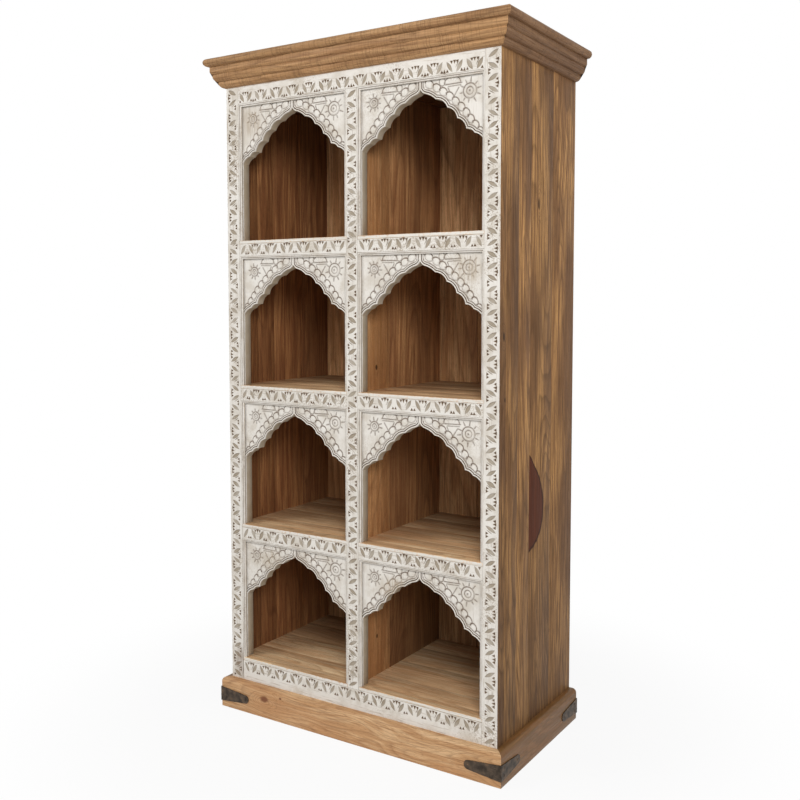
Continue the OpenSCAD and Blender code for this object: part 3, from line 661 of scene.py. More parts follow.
def addLeafCutter(bm, matrix, length, width, depth):
    sections = []
    for i in range(carveLook["leafSteps"] + 1):
        t = i / carveLook["leafSteps"]
        swell = max(math.sin(math.pi * t), 0.0)
        half = max(0.5 * width * swell ** 0.95, 0.05)
        deep = max(depth * swell ** 0.8, 0.06)
        y = (t - 0.5) * length
        section = [(-half, y, 0.8), (-half, y, 0.04), (-0.6 * half, y, -deep * 0.85), (0, y, -deep),
                   (0.6 * half, y, -deep * 0.85), (half, y, 0.04), (half, y, 0.8)]
        sections.append([matrix @ (Vector(p) * mm) for p in section])
    addLoft(bm, sections)


# three sided pyramid at u, v along and across the row, with its point towards point * v
def addNickCutter(bm, matrix, u, v, point, width, height, depth):
    before = set(bm.faces)
    made = bmesh.ops.create_cone(bm, cap_ends=True, segments=3, radius1=1.0, radius2=0.0, depth=1.0)["verts"]
    base = sorted((w for w in made if w.co.z < 0), key=lambda w: math.atan2(w.co.y, w.co.x))
    corners = [(0.0, -point * height / 2), (-width / 2, point * height / 2), (width / 2, point * height / 2)]
    for vert, (a, b) in zip(base, corners):
        vert.co = matrix @ (Vector((u + a, v + b, carveLook["nickAbove"])) * mm)
    for vert in made:
        if vert not in base:
            vert.co = matrix @ (Vector((u, v + point * height * carveLook["tipShare"], -depth)) * mm)
    for face in set(bm.faces) - before:
        face.material_index = 1


def turned(degrees, axis):
    return Matrix.Rotation(math.radians(degrees), 4, axis)


# Leaves that lean left and right by turns, with nicks between them. A row has its middle,
# its turn and length, its mirroring, the side of its big nicks, and both counts.
def addCarvedRow(bm, x, z, turn, length, flip, bigSide, bigCount, smallCount):
    look = carveLook
    shift, across = look["placePlay"], look["acrossPlay"]
    count = round(length / (look["pitch"] * mm))
    step = length / count / mm
    base = Matrix.Diagonal((flip, 1, 1, 1)) @ Matrix.Translation((x, faceY, z)) @ turned(90, "X") @ turned(turn, "Z")
    for k in range(count):
        u = (k + 0.5) * step - length / mm / 2
        lean = (1 if k % 2 == 0 else -1) * (look["lean"] + rng.uniform(-look["leanPlay"], look["leanPlay"]))
        middle = Vector((u + rng.uniform(-shift, shift), rng.uniform(-across, across), 0)) * mm
        place = base @ Matrix.Translation(middle) @ turned(lean, "Z")
        addLeafCutter(bm, place, look["leafLength"] * rng.uniform(*look["lengthRange"]),
                      look["leafWidth"] * rng.uniform(*look["widthRange"]),
                      look["leafDepth"] * rng.uniform(*look["depthRange"]))
        if k % 2:
            aside, long, wide, deep = look["stroke"]
            addLeafCutter(bm, place @ Matrix.Translation((-aside * mm, 0, 0)), long, wide,
                          deep * rng.uniform(*look["strokeRange"]))
    for k in range(count + 1):
        u = k * step - length / mm / 2
        opensUp = 1 if k % 2 == 1 else -1              # the two leaves spread towards +v or -v
        big = opensUp == bigSide
        number = bigCount if big else smallCount
        width, height, depth, apart = look["bigNick" if big else "smallNick"]
        v = opensUp * (look["nickReach"] - height / 2 + (0.5 if big else 0.0))
        for i in range(number):
            offset = (i - (number - 1) / 2) * apart
            if abs(u + offset) > length / mm / 2 - width / 2 - 1:
                continue
            size = rng.uniform(*look["sizeRange"])
            tall = look["middleTaller"] if number == 3 and i == 1 else 1.0
            addNickCutter(bm, base, u + offset + rng.uniform(-shift, shift), v + rng.uniform(-shift, shift), opensUp,
                          width * size * look["nickNarrow"], height * size * tall, depth * size)


# a member between low and high, its row cut in, its outer side bare where sideSign is set
def carvedMember(name, node, paint, low, high, row, sideSign=0):
    body = newMesh()
    addBox(body, low, high, carveLook["edge"])
    cutter = newMesh()
    addCarvedRow(cutter, *row)
    bm = cutAway(body, cutter, [paint, nickPaint, sideWood])
    markBoard(bm, randomShift(rng))
    bm.normal_update()
    for face in bm.faces:
        onSide = face.calc_center_median().x * sideSign > max(abs(low.x), abs(high.x)) - 1.5 * mm
        if face.normal.x * sideSign > 0.8 and onSide:
            face.material_index = 2
    newPiece(name, bm, [paint, nickPaint, sideWood], [node], 18)


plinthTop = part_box("plinth_front")[1].z
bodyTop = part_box("cornice_front")[0].z
beads = [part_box("bead_right_%d" % row) for row in (1, 2, 3, 4)]
floors, ceilings = [low.z for low, high in beads], [high.z for low, high in beads]
beadLow, beadHigh = beads[3]
cellMiddle, cellWidth = (beadLow.x + beadHigh.x) / 2, beadHigh.x - beadLow.x
stileInner, stileOuter = beadHigh.x, -stileLow.x
lipUnder = floors[0] - boardLook["lip"]

for side, s in mirrorX.items():
    low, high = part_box("stile_" + side)
    row = ((stileInner + stileOuter) / 2, (plinthTop + bodyTop) / 2, 90, bodyTop - plinthTop, s, -1, 3, 2)
    carvedMember("carvedStile_" + side, "stile_" + side, uprightPaint, low, high, row, s)
carvedMember("carvedMullion", "mullion", uprightPaint, Vector((mullionLow.x, mullionLow.y, lipUnder)),
             Vector((mullionHigh.x, mullionHigh.y, ceilings[3])),
             (0, (lipUnder + ceilings[3]) / 2, 90, ceilings[3] - lipUnder, 1, -1, 2, 2))
for name, node, z, smallCount in (("carvedFrieze", "frieze_rail", ceilings[3] + carveLook["friezeUp"], 3),
                                  ("carvedBaseRail", "base_rail", lipUnder - carveLook["baseDown"], 2)):
    low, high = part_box(node)
    low.x, high.x = -stileInner, stileInner
    carvedMember(name, node, levelPaint, low, high, (0, z, 0, 2 * stileInner, 1, 1, 3, smallCount))
for (side, s), row in product(mirrorX.items(), (1, 2, 3)):
    node = "rail_%s_%d" % (side, row)
    low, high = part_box(node)
    low.x, high.x = sorted((s * mullionHigh.x, s * stileInner))
    railLow, railTop = ceilings[row - 1], floors[row] - boardLook["lip"]
    low.z, high.z = railLow, railTop
    carvedMember("carvedRail_%s_%d" % (side, row), node, levelPaint, low, high,
                 (cellMiddle, (railLow + railTop) / 2 + carveLook["railUp"], 0, cellWidth, s, 1, 3, 2))
print("carved frame done")


# bead section: distance from the opening's edge and depth in mm, and how dirty it is
beadLook = {
    "wave": 0.25, "legSteps": 24, "topSteps": 28, "mitre": 0.05 * mm,
    "section": [(0.15, 7.9, 0), (0.15, 0.8, 0.4), (0.8, 0.1, 0), (1.8, 0.0, 0), (2.8, 0.3, 0), (3.4, 1.0, 0.2),
                (3.8, 2.2, 0.75), (4.3, 2.7, 0.85), (4.8, 2.2, 0.4), (5.7, 2.1, 0), (6.8, 2.6, 0), (7.6, 3.5, 0),
                (8.0, 4.8, 0), (8.0, 6.6, 0.15), (8.0, 7.9, 0.6)],
}


# small unevenness of hand work, amount in mm
def wavy(x, y, z, amount):
    return noise.noise(Vector((x, y, z)) * 30) * amount * mm


profile = [(w, d) for w, d, _ in beadLook["section"]]
stains = [stained for _, _, stained in beadLook["section"]]
for side, row in product(mirrorX, (1, 2, 3, 4)):
    low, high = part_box("bead_%s_%d" % (side, row))
    bm = newMesh()
    for end, inward in ((low.x, 1), (high.x, -1)):
        sections = []
        for i in range(beadLook["legSteps"] + 1):
            section = []
            for w, d in profile:
                z = low.z + (high.z - low.z - w * mm - beadLook["mitre"]) * i / beadLook["legSteps"]
                wave = abs(wavy(end, d, z, beadLook["wave"])) if 0 < i < beadLook["legSteps"] else 0
                section.append((end + inward * (w * mm - wave * (w > 1)), low.y + d * mm + wave * (d < 4), z))
            sections.append(section)
        addLoft(bm, sections, stains)
        markBoard(bm, randomShift(rng))
    sections = []
    for i in range(beadLook["topSteps"] + 1):
        section = []
        for w, d in profile:
            half = (high.x - low.x) / 2 - w * mm
            x = (low.x + high.x) / 2 + half * (i / (beadLook["topSteps"] / 2) - 1)
            wave = abs(wavy(x, d, high.z, beadLook["wave"]))
            section.append((x, low.y + d * mm + wave * (d < 4), high.z - w * mm))
        sections.append(section)
    before = set(bm.faces)
    addLoft(bm, sections, stains)
    for face in set(bm.faces) - before:
        face.material_index = 1
    markBoard(bm, randomShift(rng))
    finishNormals(bm)
    newPiece("beadSticks_%s_%d" % (side, row), bm, [beadPaint, beadLevelPaint], ["bead_%s_%d" % (side, row)],
             50)
print("beads done")


# Carved arches, drawn in mm from the middle of the top of the opening, x right, z up.
# A scale is its place, half length and half width. The foils' corners are shares of the foot.
archLook = {
    "halfWidth": 189.0, "foot": (181.0, -167.0), "tip": -26.0, "shoulder": (13.0, -38.0),
    "rises": (0.07, 0.16, 0.16, 0.16, 0.14, 0.12),
    "foils": [(0.248, 0.332), (0.436, 0.475), (0.592, 0.647), (0.734, 0.817), (0.862, 0.887)],
    "relief": 2.5, "cell": 1.4, "rough": 0.16, "leg": 8.0,
    "keepOut": 8.6, "middleBottom": -5.0,    # how far the ground stays off the edge, and its lower end at the tip
    "scales": [(26, -17, 11.5, 8.8), (48, -28, 10.4, 8.4), (67, -39.5, 10.2, 8.4), (85.5, -52.5, 10.4, 8.4),
               (102.5, -67, 10.0, 8.2), (118.5, -82, 10.0, 8.2), (132.5, -97.5, 10.0, 8.2), (145, -113.5, 9.8, 8.2),
               (158, -129.5, 9.8, 8.2), (171, -146, 9.0, 8.2)],
    "scaleRise": 2.1, "petal": (63.5, -15, 7.6, 9.0), "petalRise": 1.6, "fan": (93, -21.5, 22, 17), "fanRise": 1.5,
    "bars": [(1.2, 70, 122, 1.0), (6.4, 78, 119, 0.85)],    # below the fan: drop, start, end, strength
    "strokes": [((111, -33), (95, -57)), ((80, -31), (84, -40))],
    "rosette": (142, -44.5), "ring": 15.8, "button": 8.0, "rightGrow": 1.16, "leftGrow": 0.82, "rays": 10, "ray": 14.0,
    # raised strips along the foils: moved out, height above the ground, stain
    "rim": [(0.0, -20.0, 0.0), (0.0, 0.8, 0.0), (0.3, 1.9, 0.0), (1.1, 2.5, 0.0), (2.2, 2.5, 0.0), (3.1, 2.0, 0.1),
            (3.8, 0.8, 1.0), (4.7, -0.6, 1.0), (4.7, -20.0, 0.0)],
    "band": [(4.8, -20.0, 0.0), (4.8, -0.6, 1.0), (5.6, 0.5, 1.0), (6.1, 1.3, 0.1), (7.2, 1.7, 0.0), (8.3, 1.4, 0.1),
             (8.9, 0.5, 0.9), (9.6, -0.8, 1.0), (9.6, -20.0, 0.0)],
}


def archCircles():
    fx, fz = archLook["foot"]
    corners = np.array([archLook["shoulder"]] + [(a * fx, b * fz) for a, b in archLook["foils"]] + [(fx, fz)])
    circles = []
    for a, b, rise in zip(corners[:-1], corners[1:], archLook["rises"]):
        chord = np.linalg.norm(b - a)
        radius = chord * (0.25 + rise * rise) / (2 * rise)
        centre = (a + b) / 2 + np.array([b[1] - a[1], a[0] - b[0]]) / chord * (radius - rise * chord)
        circles.append((centre, radius))
    return corners, circles


archCorners, archFoils = archCircles()


def meetingPoint(first, second, grow, near):
    (c0, r0), (c1, r1) = first, second
    r0, r1 = r0 + grow, r1 + grow
    gap = c1 - c0
    distance = np.linalg.norm(gap)
    along = (r0 * r0 - r1 * r1 + distance * distance) / (2 * distance)
    aside = math.sqrt(max(r0 * r0 - along * along, 0))
    middle = c0 + gap / distance * along
    normal = np.array([-gap[1], gap[0]]) / distance
    return min((middle + normal * aside, middle - normal * aside), key=lambda p: np.linalg.norm(p - near))


# right half of the arch's edge moved out by grow, from the bead down to the foot
def archEdge(grow):
    c0, r0 = archFoils[0]
    r = r0 + grow
    startZ = archLook["tip"] + 0.35 * grow
    endX = archLook["shoulder"][0] + 0.9 * grow
    end = np.array([endX, c0[1] + math.sqrt(r * r - (endX - c0[0]) ** 2)])
    tangent = np.array([-(end[1] - c0[1]), end[0] - c0[0]]) / r
    p0, p1, p2 = np.array([grow, startZ]), np.array([grow + 1.8, startZ - 4.5]), end + tangent * (5.0 + 0.1 * grow)
    points = [np.array([grow, z]) for z in np.linspace(-1.0, startZ, 5)[:-1]]
    for t in np.linspace(0, 1, 9)[:-1]:
        points.append((1 - t) ** 3 * p0 + 3 * t * (1 - t) ** 2 * p1 + 3 * t * t * (1 - t) * p2 + t ** 3 * end)
    start = end
    for k, (centre, radius) in enumerate(archFoils):
        if k + 1 < len(archFoils):
            finish = meetingPoint(archFoils[k], archFoils[k + 1], grow, archCorners[k + 1])
        else:
            finish = centre + (archCorners[-1] - centre) / radius * (radius + grow)
        a0 = math.atan2(*(start - centre)[::-1])
        a1 = math.atan2(*(finish - centre)[::-1])
        for t in np.linspace(0, 1, 13)[:-1]:
            a = a0 + (a1 - a0) * t
            points.append(centre + (radius + grow) * np.array([math.cos(a), math.sin(a)]))
        start = finish
    points.append(start)
    return np.array(points)


# value, low or high may be arrays
def smoothStep(value, low, high):
    t = np.clip((value - low) / (high - low), 0, 1)
    return t * t * (3 - 2 * t)


# 1 on a line, falling off over width on both sides
def groove(distance, width):
    return np.exp(-(distance / width) ** 2)


def domeOver(share):
    return np.sqrt(np.clip(1 - share ** 2, 0, 1))


# cuts along a line, this deep in mm and this dark
def cutLine(height, stain, line, deep, dark, least=0.3):
    return np.where(line > least, -deep * line, height), np.maximum(stain, line * dark)


# height of the carving above the ground and how brown it is, both from x and z in mm
def archRelief(x, z, rng):
    ax = np.abs(x)
    away = np.full_like(x, 1e9)
    for centre, radius in archFoils:
        away = np.minimum(away, np.hypot(ax - centre[0], z - centre[1]) - radius)
    tipAway = np.maximum(ax, 0.68 * ax + 0.735 * (z - archLook["tip"]))
    away = np.where(z > archLook["shoulder"][1], np.minimum(away, tipAway), away)
    height = np.zeros_like(x)
    stain = np.zeros_like(x)

    # row of scales, each turned along the row
    scales = archLook["scales"]
    domes = np.zeros_like(x)
    for k, (cx, cz, a, b) in enumerate(scales):
        nextX, nextZ = scales[min(k + 1, len(scales) - 1)][:2]
        lastX, lastZ = scales[max(k - 1, 0)][:2]
        angle = math.atan2(nextZ - lastZ, nextX - lastX) + rng.uniform(-0.06, 0.06)
        u = (ax - cx) * math.cos(angle) + (z - cz) * math.sin(angle)
        v = -(ax - cx) * math.sin(angle) + (z - cz) * math.cos(angle)
        e = np.sqrt((u / a) ** 2 + (v / b) ** 2)
        e = e * (1 + 0.10 * np.clip(u / a, -1, 1) * (v > 0))
        dome = domeOver(e) * archLook["scaleRise"]
        domes = np.maximum(domes, dome)
        ring = np.clip(1.5 * groove(e - 1.13, 0.16), 0, 1)
        stain = np.maximum(stain, ring * np.where(v > -2, 1.0, 0.45) * np.where(dome > 0.15, 0.3, 1))
        height = np.minimum(height, -1.1 * ring)
    height = np.where(domes > 0, domes, height)
    clear = domes <= 0.02

    # petal
    cx, cz, a, b = archLook["petal"]
    e = np.hypot((ax - cx) / a, (z - cz) / b)
    height = np.where(clear & (e < 1), domeOver(e) * archLook["petalRise"], height)
    height, stain = cutLine(height, stain, groove(e - 1.12, 0.15) * clear, 0.8, 0.95)

    # fan hill with veins, and two bars below it
    cx, cz, a, b = archLook["fan"]
    e = np.hypot((ax - cx) / a, (z - cz) / b)
    inFan = (e < 1) & (z > cz) & clear
    fanAngle = np.arctan2(z - cz + 4, ax - cx)
    veins = groove((fanAngle / math.pi * 6) % 1 - 0.5, 0.09)
    height = np.where(inFan, (archLook["fanRise"] - 0.9 * veins) * smoothStep(1 - e, 0, 0.12), height)
    stain = np.maximum(stain, np.where(inFan, 0.3 * veins * smoothStep(e, 0.25, 0.5), 0))
    height, stain = cutLine(height, stain, groove((e - 1.05) * a, 1.6) * (z > cz - 1) * clear, 0.7, 1.0)
    for drop, start, stop, strength in archLook["bars"]:
        offLine = z - (cz - drop + 0.02 * (ax - cx))
        line = groove(offLine, 1.35) * smoothStep(ax, start, start + 3) * smoothStep(-ax, -stop, -stop + 3)
        height, stain = cutLine(height, stain, line * clear, 0.7, strength)
    for (x0, z0), (x1, z1) in archLook["strokes"]:
        along = ((ax - x0) * (x1 - x0) + (z - z0) * (z1 - z0)) / ((x1 - x0) ** 2 + (z1 - z0) ** 2)
        along = np.clip(along, 0, 1)
        stroke = groove(np.hypot(ax - x0 - along * (x1 - x0), z - z0 - along * (z1 - z0)), 1.5)
        height, stain = cutLine(height, stain, stroke * clear, 0.8, 0.95)

    # rosette: ring, inner ring, a button with a dark dimple, and rays
    cx, cz = archLook["rosette"]
    r = np.hypot(ax - cx, z - cz)
    grow = np.where(x > 0, archLook["rightGrow"], archLook["leftGrow"])
    outer, inner = archLook["ring"] * grow, archLook["button"] * grow
    rose = 2.1 * groove(r - (outer + inner) / 2, 2.0) + 2.0 * domeOver(r / (inner - 1.8)) - 2.2 * groove(r, 1.9)
    rose = rose - 0.9 * groove(r - outer, 1.5) - 0.8 * groove(r - inner, 1.3)
    height = np.where((r < outer + 1) & clear, rose, height)
    towards = np.arctan2(z - cz, ax - cx)
    rings = 1.25 * groove(r - outer, 1.6) + 1.1 * groove(r - inner, 1.35)
    rings = np.clip(rings * (0.78 + 0.22 * np.cos(towards - 2.3)), 0, 1)
    stain = np.maximum(stain, np.where(clear, rings, 0))
    stain = np.maximum(stain, groove(r, 2.4 * grow))
    for k in range(archLook["rays"]):
        direction = 2 * math.pi * (k + 0.3 + rng.uniform(-0.14, 0.14)) / archLook["rays"]
        off = (towards - direction + math.pi) % (2 * math.pi) - math.pi
        length = outer + (archLook["ray"] + rng.uniform(-4.0, 2.0)) * np.sqrt(grow)
        thick = 2.0 - 0.8 * smoothStep(r, outer + 3, length)
        ray = groove(np.abs(off) * r, thick) * smoothStep(r, outer + 1.5, outer + 3.5)
        ray = ray * smoothStep(-r, -length, -length + 2.5) * clear
        height, stain = cutLine(height, stain, ray, 1.0, rng.uniform(0.8, 1.0), 0.25)
    onGround = smoothStep(away, 9.8, 11.2)             # outside the raised strips
    return height * onGround, np.maximum(stain * onGround, groove(away - 10.3, 1.2))


# ground with its carving, a sheet closed by walls and a back
def addCarvedGround(bm, middle, top, groundY, backY, number, rng):
    stainLayer = bm.verts.layers.float["stain"]
    footZ, halfWidth = archLook["foot"][1], archLook["halfWidth"]
    edge = archEdge(archLook["keepOut"])
    edge = edge[edge[:, 0] > archLook["keepOut"] + 0.01]
    columns, rows = round(2 * halfWidth / archLook["cell"]), round(-footZ / archLook["cell"])
    xs = np.linspace(-halfWidth, halfWidth, columns + 1)
    bottoms = np.interp(np.abs(xs), edge[:, 0], edge[:, 1])
    bottoms = np.where(np.abs(xs) <= archLook["keepOut"], archLook["middleBottom"], bottoms)
    bottoms = np.maximum(bottoms, footZ - 3)
    gridX = np.repeat(xs[:, None], rows + 1, 1)
    gridZ = bottoms[:, None] * (1 - np.linspace(0, 1, rows + 1))[None, :]
    height, stain = archRelief(gridX, gridZ, rng)
    made = bmesh.ops.create_grid(bm, x_segments=columns, y_segments=rows, size=0.5)["verts"]
    for v in made:
        i, j = round((v.co.x + 0.5) * columns), round((v.co.y + 0.5) * rows)
        x, z = gridX[i, j], gridZ[i, j]
        rough = archLook["rough"] * noise.noise(Vector((x * 0.12 + number * 9, z * 0.12, 1.0)))
        v.co = (middle + x * mm, groundY - (height[i, j] + rough) * mm, top + z * mm)
        v[stainLayer] = float(min(stain[i, j] * rng.uniform(0.75, 1.05), 1))
    border = [e for e in bm.edges if e.is_boundary]
    walls = bmesh.ops.extrude_edge_only(bm, edges=border)["geom"]
    for v in walls:
        if isinstance(v, bmesh.types.BMVert):
            v.co.y = backY - 0.4 * mm
            v[stainLayer] = 0
    bmesh.ops.holes_fill(bm, edges=[g for g in walls if isinstance(g, bmesh.types.BMEdge)], sides=0)
    finishNormals(bm)


# a raised strip on both halves, down to the back
def addStrip(bm, profile, middle, top, groundY, backY):
    curves = [archEdge(out) for out, _, _ in profile]
    for flip in (-1, 1):
        sections = []
        for i in range(len(curves[0])):
            section = []
            for curve, (_, height, _) in zip(curves, profile):
                x = min(curve[i][0], archLook["halfWidth"] - 0.2)
                y = min(groundY - height * mm, backY) if height > -19 else backY
                section.append((middle + flip * x * mm, y, top + curve[i][1] * mm))
            sections.append(section[::flip])
        addLoft(bm, sections, [stain for _, _, stain in profile][::flip])


for number, (side, row) in enumerate(product(mirrorX, (1, 2, 3, 4))):
    node = "arch_%s_%d" % (side, row)
    low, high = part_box(node)
    archRandom = random.Random(100 + number)
    middle, groundY = (low.x + high.x) / 2, archFace + archLook["relief"] * mm
    bm = newMesh()
    addCarvedGround(bm, middle, high.z, groundY, high.y, number + 1, archRandom)
    for profile in (archLook["rim"], archLook["band"]):
        addStrip(bm, profile, middle, high.z, groundY, high.y)
    legTop = high.z + (archLook["foot"][1] + 0.5) * mm
    for start, end in ((low.x, low.x + archLook["leg"] * mm), (high.x - archLook["leg"] * mm, high.x)):
        addBox(bm, (start, groundY, low.z), (end, high.y, legTop), 0.5 * mm, 1)
    markBoard(bm, randomShift(archRandom))
    finishNormals(bm)
    newPiece("carvedArch_%s_%d" % (side, row), bm, [archPaint], [node], 60)
print("arches done")


# steps are shares of the reach and the height of the cornice
crownLook = {"steps": [(0.06, 0.0), (0.48, 0.29), (0.82, 0.63), (1.0, 1.0)], "bulge": 0.2, "groove": 1.2, "wave": 0.5,
             "stations": 60, "bullIn": 39.5 * mm, "joints": [-0.03, 0.12], "boardEdge": 1 * mm}

lowFront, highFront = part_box("cornice_front")
corniceOut, corniceHeight = faceY - lowFront.y, highFront.z - lowFront.z
halfBody = stileOuter
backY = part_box("cornice_left")[1].y
bullLow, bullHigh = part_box("bullnose_front")
bullOut = faceY - bullLow.y


# three rounded bands with a groove between them
def corniceProfile():
    points = []
    corners = [Vector((a * corniceOut, b * corniceHeight)) for a, b in crownLook["steps"]]
    for k, (a, b) in enumerate(zip(corners[:-1], corners[1:])):
        out = Vector((b.y - a.y, a.x - b.x)).normalized()
        for i in range(9):
            bulge = crownLook["bulge"] * (b - a).length * (1 - (2 * i / 8 - 1) ** 2)
            point = a.lerp(b, i / 8) + out * bulge
            if 0 < k and i == 0 or k < 2 and i == 8:
                point -= out * crownLook["groove"] * mm
            points.append((min(point.x, corniceOut), min(max(point.y, 0), corniceHeight)))
    return [(0.0, 0.0)] + points + [(0.0, corniceHeight)]


def bullProfile():
    radius, inside = (bullHigh.z - bullLow.z) / 2, -crownLook["bullIn"]
    nose = [(bullOut - radius + radius * math.cos(a), radius + radius * math.sin(a))
            for a in np.linspace(-math.pi / 2, math.pi / 2, 13)]
    return [(inside, 0.4 * mm)] + nose + [(inside, 2 * radius - 0.1 * mm)]


# a moulding's run, cut to its mitre at the front corners
def addRun(bm, profile, baseZ, run, wave, stations):
    sections = []
    for i in range(stations + 1):
        t = i / stations
        section = []
        for out, up in profile:
            if run == "front":
                x, y = (halfBody + out) * (2 * t - 1), faceY - out
            else:
                x, y = mirrorX[run] * (halfBody + out), faceY - out + (backY - faceY + out) * t
            inset = abs(wavy(x * 0.4, y * 0.4, up * 2 + baseZ, wave)) if 0 < t < 1 and out > 0 else 0
            if run == "front":
                y += inset
            else:
                x -= mirrorX[run] * inset
            section.append((x, y, baseZ + up))
        sections.append(section)
    addLoft(bm, sections)


for run, wood in (("front", crownFrontWood), ("left", shadedCrownSideWood), ("right", shadedCrownSideWood)):
    for kind, profile, baseZ in (("cornice", corniceProfile(), lowFront.z), ("bullnose", bullProfile(), bullLow.z)):
        bm = newMesh()
        addRun(bm, profile, baseZ, run, crownLook["wave"], crownLook["stations"])
        markBoard(bm, randomShift(rng))
        finishNormals(bm)
        newPiece("%sRun_%s" % (kind, run), bm, [wood], ["%s_%s" % (kind, run)])

low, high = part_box("crown_board")
bm = newMesh()
addPlanks(bm, low, high, crownLook["joints"], rng, crownLook["boardEdge"])
newPiece("crownPlanks", bm, [crownFrontWood], ["crown_board"])

# glue blocks, places are shares of the depth inside
blockLook = {"leg": 30 * mm, "length": 60 * mm, "places": (0.3, 0.8)}


# takes the inner lower corner off the blocks that verts belong to
def cutCorner(bm, verts, point, direction):
    geometry = verts + list({e for v in verts for e in v.link_edges}) + list({f for v in verts for f in v.link_faces})
    bmesh.ops.bisect_plane(bm, geom=geometry, dist=1e-6, plane_co=point, plane_no=direction, clear_outer=True)
    bmesh.ops.holes_fill(bm, edges=[e for e in bm.edges if e.is_boundary], sides=0)


low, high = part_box("crown_blocks")
bm = newMesh()
leg, blockLength = blockLook["leg"], blockLook["length"]
blockZ = high.z - leg
for s in (-1, 1):
    for place in blockLook["places"]:
        endY = frameBack + place * (backLow.y - frameBack)
        ends = sorted((s * high.x, s * (high.x - leg)))
        addBox(bm, (ends[0], endY - blockLength, blockZ), (ends[1], endY, high.z), 0)
    ends = sorted((s * halfBody / 2, s * halfBody / 2 - s * blockLength))
    addBox(bm, (ends[0], frameBack, blockZ), (ends[1], frameBack + leg, high.z), 0)
for s in (-1, 1):
    cutCorner(bm, [v for v in bm.verts if v.co.x * s > high.x - leg - 1e-4], (s * high.x, 0, blockZ), (-s, 0, -1))
cutCorner(bm, [v for v in bm.verts if abs(v.co.x) < halfBody / 2 + 1e-4], (0, frameBack, blockZ), (0, 1, -1))
markBoard(bm, randomShift(rng))
finishNormals(bm)
newPiece("crownBlocks", bm, [bareWood], ["crown_blocks"])
print("crown done")


plinthLook = {"thick": 22 * mm, "round": 12 * mm, "stations": 60, "wave": 0.5, "backEdge": 1.5 * mm}
plinthLow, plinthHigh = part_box("plinth_front")


def plinthProfile():
    t, r, h = plinthLook["thick"], plinthLook["round"], plinthHigh.z
    corner = [(t - r + r * math.cos(a), h - r + r * math.sin(a)) for a in np.linspace(0, math.pi / 2, 9)]
    foot = [(t - 2 * mm, 0.0), (t - 0.6 * mm, 0.5 * mm), (t, 2 * mm)]
    side = [(t, z) for z in np.linspace(12 * mm, h - r - 10 * mm, 5)]
    return [(0.0, 0.0)] + foot + side + corner + [(0.0, h)]


for run, wood in (("front", plinthFrontWood), ("left", shadedPlinthSideWood), ("right", shadedPlinthSideWood)):
    bm = newMesh()
    addRun(bm, plinthProfile(), 0.0, run, plinthLook["wave"], plinthLook["stations"])
    markBoard(bm, randomShift(rng))
    finishNormals(bm)
    newPiece("plinthRun_" + run, bm, [wood], ["plinth_" + run])
low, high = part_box("plinth_back")
bm = newMesh()
addBox(bm, low, high, plinthLook["backEdge"], 3)
markBoard(bm, randomShift(rng))
newPiece("plinthBackBoard", bm, [plinthFrontWood], ["plinth_back"])

# straps and nails in mm, a nail is its distance from the corner and its height
strapLook = {"length": 104.0, "height": 42.0, "middle": 39.0, "tip": 12.0, "thick": 2.5, "steps": 40, "bands": 8,
             "bend": 2.5, "bendIn": 0.4, "dents": 0.25, "ragged": 0.5, "crowdFrom": 0.6, "crowd": 1.15}
nailLook = {"places": [(16.0, 49.0), (16.0, 29.0), (92.0, 39.0)], "radius": 3.2, "rise": 1.5, "sunk": 0.2,
            "uneven": 0.08}


# half the strap's height at u mm from the corner, tapering to a round end
def strapHalf(u):
    tip, half = strapLook["tip"], strapLook["height"] / 2
    tipU = strapLook["length"] - tip
    if u <= tipU:
        return half + (tip - half) * u / tipU
    return math.sqrt(max(tip ** 2 - (u - tipU) ** 2, 0.04))


# corner of the plinth, at the front where sy is -1
def plinthCorner(sy):
    return halfBody + plinthLook["thick"], faceY - plinthLook["thick"] if sy < 0 else backY


